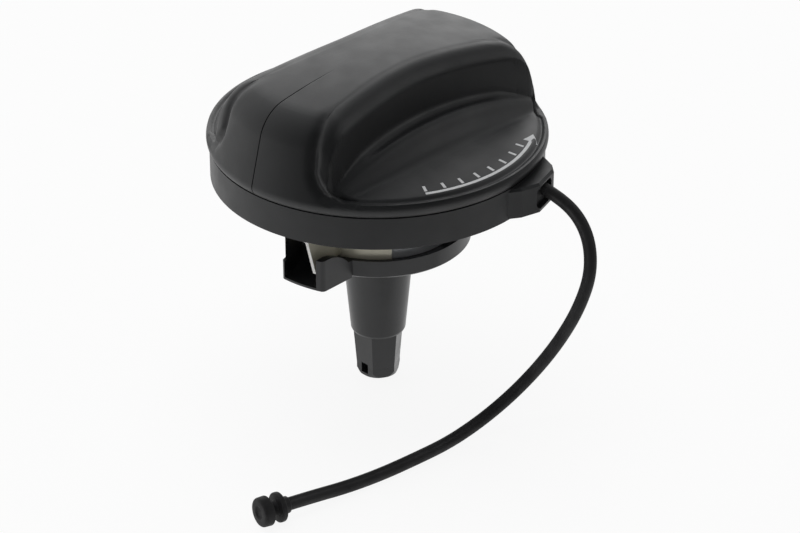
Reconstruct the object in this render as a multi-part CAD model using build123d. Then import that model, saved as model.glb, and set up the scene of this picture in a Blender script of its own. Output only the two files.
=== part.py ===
from build123d import *
from math import cos, degrees, pi, radians, sin, sqrt, tan
import os

os.makedirs("parts", exist_ok=True)

# Fuel filler cap with a quarter-turn bayonet, a ratcheting grip and a tether.
# Origin: centre of the sealing face. +Z points up to the grip, +X along the grip bar.

# ---------------------------------------------------------------- driving sizes, mm and degrees
# grip cover, outside
rim_radius = 42.0          # widest point of the cover
bulge_level = 9.4          # height of the widest point
bulge_arc = 2.9            # round of the rim at the widest point
parting_level = 7.4        # lower edge of the cover, above the tether ring
side_draft = 15.0          # lean of the cover's side
corner_arc = 11.0          # round between side and crown
crown_arc = 135.0          # radius of the crown
crown_top = 31.4           # highest point of the crown
cover_wall = 2.4           # moulded wall of the cover
lip_width = 0.9            # land round the dish, inside the rim
lip_level = 10.95          # height of that land
groove_depth = 0.5         # groove between dish and land
groove_width = 1.1

# finger recesses
crest_top = 31.25          # top of the crest arc, just over the crown
crest_corner = 11.95       # half width of the bar where wall and crown lines would meet
crest_arc = 3.2            # round along the top edge of the bar
wall_lean = 10.0           # lean of the bar's wall
cove_arc = 4.6             # hollow between wall and rib
rib_offset = 19.3          # distance of the rib edge from the middle of the bar
rib_level = 18.5           # height of the rib edge at the middle
rib_slope = 12.0           # rise of the hollow's floor towards the rib
scoop_swing = 91.0         # radius on which the hollow is swept
scoop_tilt = 51.5          # direction in which the hollow falls away, from the horizontal
scoop_end = 33.2           # half length of the hollow
scoop_end_arc = 5.0        # round at the ends of the hollow
dish_slope = 0.273         # fall of the dish per mm of radius
dish_fall_from = 20.7      # radius and height that the dish passes
dish_level = 16.5
channel_angle = 22.7       # direction of the channel beside the bar's end
channel_width = 1.7
channel_depth = 1.3
channel_top = 26.0
channel_foot = 10.4

# grip cover, inside
bar_void = 9.3             # half width of the hollow bar
bar_rib_place = 14.0       # cross ribs in the hollow bar
bar_rib_width = 1.8
spigot_outer = 39.0        # skirt that reaches down inside the tether ring
spigot_inner = 37.0
spigot_foot = 1.0
bead_height = 0.8          # snap bead that keeps the tether ring
bead_reach = 0.4
bead_foot = 3.7
snap_lip_height = 0.9      # lip that keeps the closure's flange
snap_lip_reach = 0.5       # how far that lip reaches under the flange

# ratchet
tooth_count = 24
tooth_height = 1.3
tooth_flat = 0.5           # degrees of flat at the foot of each tooth
tooth_foot = 4.8
tooth_top = 8.7
pawl_count = 3
pawl_span = 38.0           # degrees from pawl tip to root
pawl_width = 1.0
pawl_facets = 8            # straight stretches along an arm
pawl_gap = 0.35            # between pawl tip and the foot of a tooth
pawl_arm_gap = 0.3         # between the arm and the crests of the teeth
pawl_nose_lead = 0.3       # degrees from tooth face to pawl nose
pawl_nose_flat = 0.6
pawl_nose_ramp = 6.5
pawl_root = 6.0
ratchet_height = 2.2
ratchet_inner = 24.0
ratchet_slot = 1.0         # free space behind each pawl
ratchet_lift = 0.05        # rests this far above the flange
peg_radius = 1.8
peg_set_in = 0.3           # how far the pegs stay under the ring's face
peg_circle = 28.5
peg_count = 3
peg_angle = 60.0

# tether ring
ring_wall = 1.8
ring_clearance = 0.5       # round the cover's skirt
ring_foot = -1.0
ring_gap = 0.25            # under the cover's parting edge
ring_rib = 0.35            # inward rib above the snap bead
ring_rib_foot = 4.7
ring_rib_height = 2.0
boss_angle = -72.0
boss_foot = -0.7
boss_top = 7.0
boss_depth = 4.1           # from the ring to the face of the boss
boss_front = (-3.5, 4.5)   # sides of its face
boss_shoulder = (-8.0, 7.5)
boss_set_back = (2.8, 1.8) # how far the shoulders stand behind the face
boss_root = (-11.0, 11.5)  # sides of the boss where it leaves the ring
boss_chamfer = 0.6
pocket_depth = 5.0
pocket_left = -4.3
pocket_right = 3.2
pocket_top = 6.0
pocket_arc = 1.6
anchor_set_back = 1.2
anchor_clearance = 0.1

# closure body
flange_clearance = 0.4     # between the flange and the cover's skirt
flange_foot = 2.2
flange_height = 2.4
pilot_radius = 22.5
pilot_foot = -5.8
pilot_chamfer = 1.0
core_outer = 19.6
core_inner = 15.6
core_foot = -17.0
seat_floor = 2.4           # thickness of the valve seat
seat_flange = 1.2          # height of the seat's flange
seat_rebate = 1.6          # how far that flange reaches into the core's wall
seat_clearance = 0.05
retainer_bore = 17.8
retainer_seat = -0.8
port_radius = 7.0
seat_lip = 1.0
seat_lip_width = 1.0
snap_bead = 0.25           # bead over the spring retainer
post_set_out = 0.1         # between the sleeve's groove and the posts
post_wall = 1.2
post_foot = -14.5
narrow_post = (97.3, 101.7)
wide_post = (105.0, 171.0)

# main seal
seal_width = 4.3
seal_set_in = 0.7          # from the flange's edge to the seal
seal_depth = 0.6           # how far it sits in its groove
seal_edge = 0.4
seal_clearance = 0.1
seal_fence = 1.6           # wall inside the seal
seal_fence_height = 1.4

# metal sleeve round the core
sleeve_clearance = 0.05
sleeve_wall = 0.85
sleeve_top = -3.8

# lug carrier
carrier_rebate = 1.65      # room between the sleeve and the carrier's wall
carrier_wall = 1.15
carrier_top = -14.5
carrier_foot = -19.2
carrier_ledge = -15.3
carrier_chamfer = 0.5
lug_angle = 190.3
lug_reach = 32.6
lug_half_width = 6.1
lug_flare = 9.0
lug_wall = 2.0
lug_far_wall = 0.9
lug_floor = 0.6
lug_round = 1.2            # round along the lower outer corners
lug_near_top = -11.0       # top of the near wall at its outer end
lug_near_middle = (26.0, -12.1)
lug_far_top = -7.3
lug_far_step = 0.7
lug_step_level = -14.3
stem_bore = 9.5

# bayonet springs
leaf = 0.8                 # sheet thickness
band_inner = 20.7
band_span = (-10.3, 43.7)  # degrees from the middle of the lug
band_top = -7.0
band_foot = -15.2
tab_foot = -17.7
tab_span = 8.5
roof_top = -6.2
roof_set_back = 0.5        # from the lug's outer end
roof_far_edge = -5.2
roof_bend = 1.5
tab_arc = 1.5
tab_slot_clearance = 0.8   # degrees
wing_top_place = 2.0
wing_foot_place = 3.9
wing_foot = -14.9
wing_inner_foot = -14.2
wing_clearance = 0.6       # between the wing and the carrier's ring

# valve stem and probe tip
stem_top_radius = 9.4
stem_end_radius = 7.0
stem_end = -46.7
stem_end_round = 0.8
stem_bore_top = 6.9
stem_bore_end = 4.9
stem_end_wall = 2.0
stem_flange = 11.6
stem_flange_height = 1.1
stem_seal_width = 1.0
stem_seal_height = 0.7
tip_top_radius = 6.5
tip_foot_radius = 5.7
tip_straight_foot = -56.4
tip_end = -59.7
tip_round = 2.0
tip_wall = 1.3
tip_window_width = 2.3
tip_window_height = 2.8
tip_window_foot = -58.4
tip_plug = 5.0             # length snapped inside the stem
tip_snap = 0.3             # how far its snap edge stands out

# valves inside the core
gasket_radius = 9.4
gasket_height = 1.2
gasket_hole = 3.2
plate_radius = 9.8
plate_height = 1.4
plate_hub = 6.2
plate_hub_height = 1.2
plate_hub_wall = 1.0
plate_hole = 1.9
plate_vent = 0.6           # radius of the four vents beside the hole
plate_vents = 4
vacuum_head = 4.6
vacuum_head_height = 1.2
vacuum_head_chamfer = 0.6
vacuum_stem = 1.4
vacuum_groove = 0.4        # depth of the clip's groove
vacuum_stem_tail = 1.2     # stem above the groove
vacuum_stem_top = -4.6
clip_radius = 3.4
clip_height = 0.9
clip_clearance = 0.1
clip_mouth = 0.9           # half width of its mouth, as a share of the bore
vacuum_spring_radius = 2.5
vacuum_spring_wire = 0.5
vacuum_spring_turns = 3
pressure_spring_radius = 7.6
pressure_spring_wire = 1.3
pressure_spring_turns = 3
retainer_height = 1.9
retainer_wall = 2.4
retainer_hub = 5.2
retainer_spokes = 4
retainer_spoke_width = 2.6
retainer_clearance = 0.05
retainer_seat_drop = 0.4   # seat and spokes stay under the rim's face

# tether strap and its knob
strap_diameter = 3.2
strap_root = 2.4           # length of the strap that its root is moulded round
strap_route = [
    (14.7, -42.7, 3.2),
    (15.8, -45.9, 1.8),
    (16.9, -50.1, -1.0),
    (17.0, -53.6, -4.8),
    (16.3, -56.0, -9.6),
    (14.9, -57.1, -15.5),
    (13.4, -55.8, -22.7),
    (12.5, -52.9, -30.1),
    (11.1, -49.2, -37.7),
    (8.1, -45.4, -45.0),
    (2.7, -42.0, -51.4),
    (-4.9, -39.5, -55.9),
    (-14.1, -38.1, -58.1),
    (-24.5, -37.3, -58.1),
    (-35.2, -36.1, -58.1),
    (-45.5, -34.4, -57.7),
    (-54.8, -32.9, -56.5),
    (-61.8, -31.3, -56.15),
]
knob_disc = 3.7
knob_collar = 2.1
knob_neck = 1.8
knob_inner_disc = (1.9, 3.3)
knob_outer_disc = (5.3, 8.0)
knob_edge = 0.55
knob_dimple = 0.6

tip_clearance = 0.05
running_gap = 0.1
overlap = 0.5              # how far solids that become one run into each other

# ---------------------------------------------------------------- sizes worked out from those above
ring_inner = spigot_outer + ring_clearance
flange_radius = spigot_inner - flange_clearance
seal_outer = flange_radius - seal_set_in
seal_inner = seal_outer - seal_width
ring_outer = ring_inner + ring_wall
boss_reach = ring_outer + boss_depth
pocket_floor = boss_reach - pocket_depth
flange_top = flange_foot + flange_height
floor_top = core_foot + seat_floor
sleeve_groove = core_outer + sleeve_wall + 3 * sleeve_clearance
carrier_radius = sleeve_groove + carrier_rebate + carrier_wall
roof_reach = lug_reach - roof_set_back
wing_inner_reach = carrier_radius + wing_clearance
post_inner = sleeve_groove + post_set_out
stem_seal_radius = (stem_bore_top + stem_flange) / 2
gasket_foot = floor_top + seat_lip
plate_foot = gasket_foot + gasket_height
plate_top = plate_foot + plate_height
clip_foot = vacuum_stem_top - vacuum_stem_tail - clip_height + clip_clearance / 2


# ---------------------------------------------------------------- small helpers
def turned(points):
    """Solid of revolution about Z from points (radius, height)."""
    return revolve(make_face(Plane.XZ * Polyline(points, close=True)), Axis.Z)


def tube(inner, outer, low, high):
    return Pos(0, 0, low) * extrude(Circle(outer) - Circle(inner), high - low)


def disc(radius, low, high):
    return Pos(0, 0, low) * extrude(Circle(radius), high - low)


def sector(inner, outer, start, end, low, high):
    """Part of a tube between two angles."""
    section = Polyline((inner, low), (outer, low), (outer, high), (inner, high), close=True)
    face = make_face(Plane.XZ * section)
    return Rot(0, 0, start) * revolve(face, Axis.Z, end - start)


def slab(x, y, z):
    """Box from three (low, high) pairs."""
    middle = [(pair[0] + pair[1]) / 2 for pair in (x, y, z)]
    return Pos(*middle) * Box(x[1] - x[0], y[1] - y[0], z[1] - z[0])


def polar(radius, angle):
    return (radius * cos(radians(angle)), radius * sin(radians(angle)))


def both_sides(shape):
    return shape + Rot(0, 0, 180) * shape


def coil(radius, wire, low, high, turns):
    """Compression spring of round wire, its wire touching both levels."""
    travel = high - low - wire
    path = Helix(travel / turns, travel, radius)
    section = Plane(path @ 0, z_dir=path % 0) * RegularPolygon(wire / 2, 6)
    return Pos(0, 0, low + wire / 2) * sweep(section, path, is_frenet=True)


# ---------------------------------------------------------------- grip cover
def drum(inset):
    """Domed drum of the cover with its skin moved in by inset."""
    lean = radians(side_draft)
    outward = Vector(cos(lean), sin(lean))
    upward = Vector(-sin(lean), cos(lean))
    bulge_centre = Vector(rim_radius - bulge_arc, bulge_level)
    crown_centre = Vector(0, crown_top - crown_arc)
    side_start = bulge_centre + outward * (bulge_arc - inset)
    offset = bulge_centre + outward * (bulge_arc - corner_arc) - crown_centre
    reach = crown_arc - corner_arc
    along = offset.dot(upward)
    run = sqrt(along ** 2 - offset.dot(offset) + reach ** 2) - along
    corner_centre = crown_centre + offset + upward * run
    corner_radius = corner_arc - inset
    side_end = corner_centre + outward * corner_radius
    crown_ward = (corner_centre - crown_centre).normalized()
    crown_start = corner_centre + crown_ward * corner_radius
    corner_middle = corner_centre + (outward + crown_ward).normalized() * corner_radius
    bulge_radius = bulge_arc - inset
    drop = min(bulge_radius, bulge_level - parting_level)
    foot = bulge_centre + Vector(sqrt(bulge_radius ** 2 - drop ** 2), -drop)
    widest = bulge_centre + Vector(bulge_radius, 0)
    apex = Vector(0, crown_top - inset)
    crown_middle = crown_centre + (crown_ward + Vector(0, 1)).normalized() * (crown_arc - inset)
    base = parting_level - overlap
    outline = [
        Line((0, base), (foot.X, base)),
        Line((foot.X, base), foot),
        ThreePointArc(foot, widest, side_start),
        Line(side_start, side_end),
        ThreePointArc(side_end, corner_middle, crown_start),
        ThreePointArc(crown_start, crown_middle, apex),
        Line(apex, (0, base)),
    ]
    domed = revolve(make_face([Plane.XZ * edge for edge in outline]), Axis.Z)
    return domed - disc(2 * rim_radius, base - overlap, parting_level)


def dish_height(radius):
    return dish_level - dish_slope * (radius - dish_fall_from)


def dish_cutter():
    """Everything above the sloping dish, the groove round it and the land beside the rim."""
    land = rim_radius - 2 * bulge_arc / 3 + lip_width
    groove = land - groove_width
    return turned([
        (crest_corner, dish_height(crest_corner)),
        (groove, dish_height(groove)),
        (groove + groove_width / 3, lip_level - groove_depth),
        (land - groove_width / 4, lip_level - groove_depth),
        (land, lip_level),
        (rim_radius + bulge_arc, lip_level),
        (rim_radius + bulge_arc, crown_top + bulge_arc),
        (crest_corner, crown_top + bulge_arc),
    ])


def scoop_cutter():
    """Hollow under the bar's edge, swept on a tilted circle so that it falls and widens to its ends."""
    lean = tan(radians(wall_lean))
    rise = tan(radians(rib_slope))
    floor_at_corner = rib_level - rise * (rib_offset - crest_corner - lean * crest_top)
    cove_level = floor_at_corner / (1 + rise * lean)
    cove_place = crest_corner + lean * (crest_top - cove_level)
    far = rim_radius + corner_arc
    far_level = rib_level + rise * (far - rib_offset)
    crest_start = crest_corner - crest_arc
    above = crown_top + corner_arc
    lower_edge = FilletPolyline(
        (-crest_start, crest_top),
        (-crest_corner, crest_top),
        (-cove_place, cove_level),
        (-far, far_level),
        radius=[crest_arc, cove_arc],
    )
    upper_edge = Polyline(
        (-far, far_level),
        (-far, above),
        (-crest_start, above),
        (-crest_start, crest_top),
    )
    section = make_face([Plane.YZ * edge for edge in lower_edge.edges() + upper_edge.edges()])
    tilt = radians(scoop_tilt)
    centre_y = -rib_offset - scoop_swing * cos(tilt)
    centre_z = rib_level - scoop_swing * sin(tilt)
    axis = Axis((0, centre_y, centre_z), (0, -sin(tilt), cos(tilt)))
    swing = 1.3 * degrees(scoop_end / scoop_swing)  # runs on past both ends of the hollow
    swept = revolve(section.rotate(axis, -swing), axis, 2 * swing)
    room = Rectangle(2 * scoop_end, 2 * far)
    room = fillet(room.vertices(), scoop_end_arc)
    return swept & extrude(room, 2 * above)


def channel_cutters(outer):
    """Shallow channels in the skin that run from the rim up beside each end of the bar."""
    skin = outer - drum(channel_depth)
    strip = slab((rim_radius - corner_arc, rim_radius + overlap), (-channel_width / 2, channel_width / 2),
                 (channel_foot, channel_top))
    places = (channel_angle, 180 - channel_angle, 180 + channel_angle, -channel_angle)
    return [skin & (Rot(0, 0, place) * strip) for place in places]


def tooth_ring():
    """Annulus whose inner edge carries the ratchet teeth, steep face first, then a long ramp."""
    pitch = 360 / tooth_count
    edge = []
    for tooth in range(tooth_count):
        angle = tooth * pitch
        edge.append(polar(spigot_inner - tooth_height, angle))
        edge.append(polar(spigot_inner, angle))
        edge.append(polar(spigot_inner, angle + tooth_flat))
    outline = Circle((spigot_inner + spigot_outer) / 2) - make_face(Polyline(edge, close=True))
    return Pos(0, 0, tooth_foot) * extrude(outline, tooth_top - tooth_foot)


def grip_cover():
    outer = drum(0)
    body = outer
    dish = dish_cutter()
    far = rim_radius + corner_arc
    beyond_rib = slab((-far, far), (-far, -rib_offset), (0, 2 * crown_top))
    scoop = scoop_cutter()
    for turn in (0, 180):
        body -= Rot(0, 0, turn) * (dish & beyond_rib)
        body -= Rot(0, 0, turn) * scoop
    for channel in channel_cutters(outer):
        body -= channel
    under_level = dish_height(dish_fall_from) - cover_wall
    under = turned([
        (0, parting_level - overlap),
        (spigot_inner, parting_level - overlap),
        (spigot_inner, dish_height(spigot_inner) - cover_wall),
        (dish_fall_from, under_level),
        (0, under_level),
    ])
    void = slab((-spigot_inner, spigot_inner), (-bar_void, bar_void), (parting_level, crown_top))
    void &= drum(cover_wall) & disc(spigot_inner, 0, crown_top)
    for side in (-1, 1):
        middle = side * bar_rib_place
        half = bar_rib_width / 2
        void -= slab((middle - half, middle + half), (-bar_void, bar_void), (under_level, crown_top))
    body -= under + void
    lip_radius = flange_radius - snap_lip_reach
    spigot = tube(spigot_inner, spigot_outer, spigot_foot, parting_level + overlap)
    snap_lip = tube(lip_radius, spigot_inner + overlap, spigot_foot, spigot_foot + snap_lip_height)
    bead = turned([
        (spigot_outer - overlap, bead_foot - bead_reach),
        (spigot_outer, bead_foot - bead_reach),
        (spigot_outer + bead_reach, bead_foot),
        (spigot_outer + bead_reach, bead_foot + bead_height),
        (spigot_outer - overlap, bead_foot + bead_height),
    ])
    return body + spigot + snap_lip + bead + tooth_ring()


# ---------------------------------------------------------------- tether ring and strap
def in_boss_frame(shape):
    return Rot(0, 0, boss_angle) * shape


def tether_ring():
    top = parting_level - ring_gap
    ring = tube(ring_inner, ring_outer, ring_foot, top)
    rib_top = ring_rib_foot + ring_rib_height
    rib = tube(ring_inner - ring_rib, ring_inner + overlap, ring_rib_foot, rib_top)
    boss = make_face(Polyline(
        (ring_inner - overlap, boss_root[0]),
        (boss_reach - boss_set_back[0], boss_shoulder[0]),
        (boss_reach, boss_front[0]),
        (boss_reach, boss_front[1]),
        (boss_reach - boss_set_back[1], boss_shoulder[1]),
        (ring_inner - overlap, boss_root[1]),
        close=True,
    ))
    boss = Pos(0, 0, boss_foot) * extrude(boss, boss_top - boss_foot)
    chamfered = boss.edges().filter_by(Axis.Z, reverse=True).group_by(Axis.Z)[-1]
    boss = chamfer(chamfered, boss_chamfer)
    boss -= disc(ring_inner, ring_foot, top)
    pocket = slab((pocket_floor, boss_reach + overlap), (pocket_left, pocket_right), (0, pocket_top))
    pocket = fillet(pocket.edges().filter_by(Axis.X), pocket_arc)
    return ring + rib + in_boss_frame(boss) - in_boss_frame(pocket)


def strap_anchor():
    """Moulded root of the strap, held in the boss pocket."""
    gap = anchor_clearance
    front = boss_reach - anchor_set_back
    block = slab((pocket_floor, front), (pocket_left + gap, pocket_right - gap), (gap, pocket_top - gap))
    block = fillet(block.edges().filter_by(Axis.X), pocket_arc - gap)
    start = Vector(*strap_route[0])
    toward = (Vector(*strap_route[1]) - start).normalized()
    stub = Pos(0, 0, -strap_root) * extrude(Circle(strap_diameter / 2), strap_root)
    return in_boss_frame(block) + Plane(start, z_dir=toward) * stub


def strap_radii():
    """Largest bend at each corner of the strap that its two runs allow."""
    points = [Vector(*point) for point in strap_route]
    radii = []
    for before, corner, after in zip(points, points[1:], points[2:]):
        run = min((corner - before).length, (after - corner).length)
        turn = (corner - before).get_angle(after - corner)
        radii.append(0.45 * run / tan(radians(turn / 2)))
    return radii


def tether_strap():
    path = FilletPolyline(*strap_route, radius=strap_radii())
    section = Plane(path @ 0, z_dir=path % 0) * Circle(strap_diameter / 2)
    strap = sweep(section, path)
    print("strap radii", [round(radius, 1) for radius in strap_radii()])
    print("strap length", round(path.length, 1))
    print("strap volume", round(strap.volume, 1), "section times length",
          round(pi * strap_diameter ** 2 / 4 * path.length, 1))
    return strap


def tether_knob():
    """Two-disc button that snaps into the hole in the car's body."""
    inner_start, inner_end = knob_inner_disc
    outer_start, outer_end = knob_outer_disc
    edge = knob_edge
    button = turned([
        (0, 0),
        (knob_collar - edge, 0),
        (knob_collar, edge),
        (knob_collar, inner_start),
        (knob_disc - edge, inner_start + edge / 2),
        (knob_disc, (inner_start + inner_end) / 2),
        (knob_disc - edge, inner_end),
        (knob_neck, inner_end + edge),
        (knob_neck, outer_start - edge),
        (knob_disc - edge, outer_start),
        (knob_disc, outer_start + edge),
        (knob_disc, outer_end - 2 * edge),
        (knob_disc - 1.5 * edge, outer_end),
        (knob_dimple, outer_end),
        (0, outer_end - knob_dimple),
    ])
    end = Vector(*strap_route[-1])
    last_run = end - Vector(*strap_route[-2])
    return Plane(end, z_dir=last_run) * button


# ---------------------------------------------------------------- closure body and what sits on it
def peg_places():
    return [polar(peg_circle, peg_angle + number * 360 / peg_count) for number in range(peg_count)]


def closure_body():
    fence = seal_inner - seal_clearance
    body = turned([
        (core_inner, flange_top),
        (core_inner, core_foot + seat_flange),
        (core_inner + seat_rebate, core_foot + seat_flange),
        (core_inner + seat_rebate, core_foot),
        (core_outer, core_foot),
        (core_outer, sleeve_top),
        (sleeve_groove, sleeve_top),
        (sleeve_groove, pilot_foot),
        (pilot_radius - pilot_chamfer, pilot_foot),
        (pilot_radius, pilot_foot + pilot_chamfer),
        (pilot_radius, flange_foot),
        (fence - seal_fence, flange_foot),
        (fence - seal_fence, flange_foot - seal_fence_height),
        (fence, flange_foot - seal_fence_height),
        (fence, flange_foot + seal_depth),
        (seal_outer + seal_clearance, flange_foot + seal_depth),
        (seal_outer + seal_clearance, flange_foot),
        (flange_radius, flange_foot),
        (flange_radius, flange_top),
    ])
    bead_level = retainer_seat + retainer_height + running_gap
    body -= turned([
        (core_inner - overlap, retainer_seat),
        (retainer_bore, retainer_seat),
        (retainer_bore, bead_level),
        (retainer_bore - snap_bead, bead_level + snap_bead),
        (retainer_bore, bead_level + 2 * snap_bead),
        (retainer_bore, flange_top + overlap),
        (core_inner - overlap, flange_top + overlap),
    ])
    posts = Part()
    for start, end in (narrow_post, wide_post):
        posts += sector(post_inner, post_inner + post_wall, start, end, post_foot, pilot_foot + overlap)
    foot_outer = carrier_radius - carrier_wall - running_gap
    posts += sector(post_inner, foot_outer, *wide_post, carrier_ledge, post_foot + overlap)
    body += both_sides(posts)
    peg_top = flange_top + ratchet_height - peg_set_in
    for x, y in peg_places():
        body += Pos(x, y, 0) * disc(peg_radius, flange_top - overlap, peg_top)
    return body


def valve_seat():
    """Floor of the core with the raised lip that the pressure valve closes on."""
    barrel = core_inner - seat_clearance
    flange = core_inner + seat_rebate - seat_clearance
    lip = port_radius + seat_lip_width
    return turned([
        (port_radius, core_foot),
        (flange, core_foot),
        (flange, core_foot + seat_flange),
        (barrel, core_foot + seat_flange),
        (barrel, floor_top),
        (lip, floor_top),
        (lip, gasket_foot),
        (port_radius, gasket_foot),
    ])


def main_seal():
    top = flange_foot + seal_depth
    return turned([
        (seal_inner, top),
        (seal_inner, seal_edge),
        (seal_inner + seal_edge, 0),
        (seal_outer - seal_edge, 0),
        (seal_outer, seal_edge),
        (seal_outer, top),
    ])


def ratchet_ring():
    """Ring keyed to the closure, with spring pawls whose noses sit in the teeth of the cover."""
    tip = spigot_inner - pawl_gap
    arm_outer = spigot_inner - tooth_height - pawl_arm_gap
    arm_inner = arm_outer - pawl_width
    body_outer = arm_inner - ratchet_slot
    pitch = 360 / tooth_count
    ring = Circle(body_outer) - Circle(ratchet_inner)
    for number in range(pawl_count):
        angle = number * 360 / pawl_count + pitch
        start = angle + pawl_nose_lead
        root = start + pawl_span
        steps = [step * pawl_span / pawl_facets for step in range(pawl_facets + 1)]
        arm_points = [polar(arm_outer, start + step) for step in steps[2:]]
        back_points = [polar(arm_inner, root - step) for step in steps]
        nose = [
            polar(tip, start),
            polar(tip, start + pawl_nose_flat),
            polar(arm_outer, start + pawl_nose_ramp),
        ]
        arm = make_face(Polyline(nose + arm_points + back_points, close=True))
        root_start = root - pawl_root
        root_block = make_face(Polyline(
            polar(body_outer - overlap, root_start),
            polar(arm_outer, root_start),
            polar(arm_outer, root - pawl_root / 2),
            polar(arm_outer, root),
            polar(body_outer - overlap, root),
            close=True,
        ))
        ring += arm + root_block
    for x, y in peg_places():
        ring -= Pos(x, y) * Circle(peg_radius + running_gap)
    return Pos(0, 0, flange_top + ratchet_lift) * extrude(ring, ratchet_height)


def core_sleeve():
    inner = core_outer + sleeve_clearance
    return tube(inner, inner + sleeve_wall, core_foot, sleeve_top)


# ---------------------------------------------------------------- lug carrier and bayonet springs
def in_lug_frame(shape):
    return Rot(0, 0, lug_angle) * shape


def lug_outline(reach, half_width, start):
    """Plan of a lug, wider at the ring than at its outer end, cut by its outer arc."""
    widening = (reach - start) * tan(radians(lug_flare))
    wedge = make_face(Polyline(
        (start, -half_width - widening),
        (reach, -half_width),
        (reach, half_width),
        (start, half_width + widening),
        close=True,
    ))
    return wedge & Circle(reach)


def near_wall_cutter(far):
    """Everything over the near wall, whose top falls in a curve from its outer end to the ring."""
    outline = [
        Line((0, carrier_top), (carrier_radius, carrier_top)),
        ThreePointArc((carrier_radius, carrier_top), lug_near_middle, (lug_reach, lug_near_top)),
        Line((lug_reach, lug_near_top), (far, lug_near_top)),
        Line((far, lug_near_top), (far, 0)),
        Line((far, 0), (0, 0)),
        Line((0, 0), (0, carrier_top)),
    ]
    section = make_face([Plane.XZ * edge for edge in outline])
    return Pos(0, far, 0) * extrude(section, far, dir=(0, -1, 0))


def lug():
    """Pocket of one lug, open at its outer end: a floor, a low near wall and a tall, thin far wall."""
    inside = carrier_radius - carrier_wall
    outer = lug_outline(lug_reach, lug_half_width, inside)
    inner = lug_outline(lug_reach + overlap, lug_half_width, inside - overlap)
    inner = inner & (Pos(0, -lug_wall) * inner) & (Pos(0, lug_far_wall) * inner)
    floor_level = carrier_foot + lug_floor
    shell = Pos(0, 0, carrier_foot) * extrude(outer, lug_far_top - carrier_foot)
    outer_corners = shell.edges().filter_by(Axis.Z).group_by(Axis.X)[-1]
    shell = fillet(outer_corners, lug_round)
    shell -= Pos(0, 0, floor_level) * extrude(inner, lug_far_top - floor_level)
    far = rim_radius
    shell -= near_wall_cutter(far)
    stepped = lug_outline(lug_reach - lug_far_step, lug_half_width - lug_far_step, inside)
    wide_part = Pos(0, 0, lug_step_level) * extrude(outer - stepped, lug_far_top - lug_step_level)
    shell -= wide_part & slab((0, far), (-far, 0), (carrier_foot, 0))
    shell -= disc(inside, carrier_foot, 0)
    shell -= disc(carrier_radius, carrier_top, 0)
    return shell


def lug_carrier():
    inside = carrier_radius - carrier_wall
    ledge_inner = sleeve_groove
    cup = turned([
        (stem_bore, carrier_foot),
        (carrier_radius - carrier_chamfer, carrier_foot),
        (carrier_radius, carrier_foot + carrier_chamfer),
        (carrier_radius, carrier_top),
        (inside, carrier_top),
        (inside, carrier_ledge),
        (ledge_inner, carrier_ledge),
        (ledge_inner, core_foot),
        (stem_flange + running_gap, core_foot),
        (stem_flange + running_gap, core_foot - stem_flange_height - running_gap),
        (stem_bore, core_foot - stem_flange_height - running_gap),
    ])
    cup += both_sides(in_lug_frame(lug()))
    slot_start = band_span[0] - tab_slot_clearance
    slot_end = band_span[0] + tab_span + tab_slot_clearance
    slot_foot = tab_foot - running_gap
    slot = sector(ledge_inner - overlap, inside, slot_start, slot_end, slot_foot, carrier_ledge + overlap)
    return cup - both_sides(in_lug_frame(slot))


def bayonet_spring():
    """Sheet-steel leaf: a band round the core, a roof over the lug and a wing down into its pocket."""
    band_outer = band_inner + leaf
    start, end = band_span
    roof_near_edge = wing_top_place - roof_bend
    near_angle = degrees(roof_near_edge / band_outer)
    band = sector(band_inner, band_outer, start, end, band_foot, band_top)
    tab = sector(band_inner, band_outer, start, start + tab_span, tab_foot, band_foot + overlap)
    corner = tab.edges().filter_by(lambda edge: edge.length < 2 * leaf).group_by(Axis.Z)[0]
    tab = fillet(corner, tab_arc)
    rise = sector(band_inner, band_outer, start, near_angle, band_top - overlap, roof_top)
    roof_low = roof_top - leaf
    inner_bend = roof_bend - leaf
    roof = slab((band_inner, roof_reach + overlap), (roof_far_edge, roof_near_edge), (roof_low, roof_top))
    lean = (wing_foot_place - wing_top_place) / (roof_top - roof_bend - wing_foot)
    bend_start = (roof_near_edge, roof_top)
    bend_end = (wing_top_place, roof_top - roof_bend)
    outside = [
        Line((roof_near_edge - overlap, roof_top), bend_start),
        RadiusArc(bend_start, bend_end, roof_bend),
        Line(bend_end, (wing_foot_place, wing_foot)),
        Line((wing_foot_place, wing_foot), (wing_foot_place - leaf, wing_foot)),
        Line((wing_foot_place - leaf, wing_foot), (wing_top_place - leaf, roof_top - roof_bend)),
        RadiusArc((wing_top_place - leaf, roof_top - roof_bend), (roof_near_edge, roof_low), -inner_bend),
        Line((roof_near_edge, roof_low), (roof_near_edge - overlap, roof_low)),
        Line((roof_near_edge - overlap, roof_low), (roof_near_edge - overlap, roof_top)),
    ]
    section = make_face([Plane.YZ * edge for edge in outside])
    wing = Pos(band_inner, 0, 0) * extrude(section, roof_reach - band_inner + overlap, dir=(1, 0, 0))
    wing -= slab((0, wing_inner_reach), (-rim_radius, rim_radius), (wing_foot, wing_inner_foot))
    leaf_part = (roof + wing) & disc(roof_reach, wing_foot, 0)
    leaf_part -= disc(band_inner, wing_foot, 0)
    return band + tab + rise + leaf_part


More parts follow.
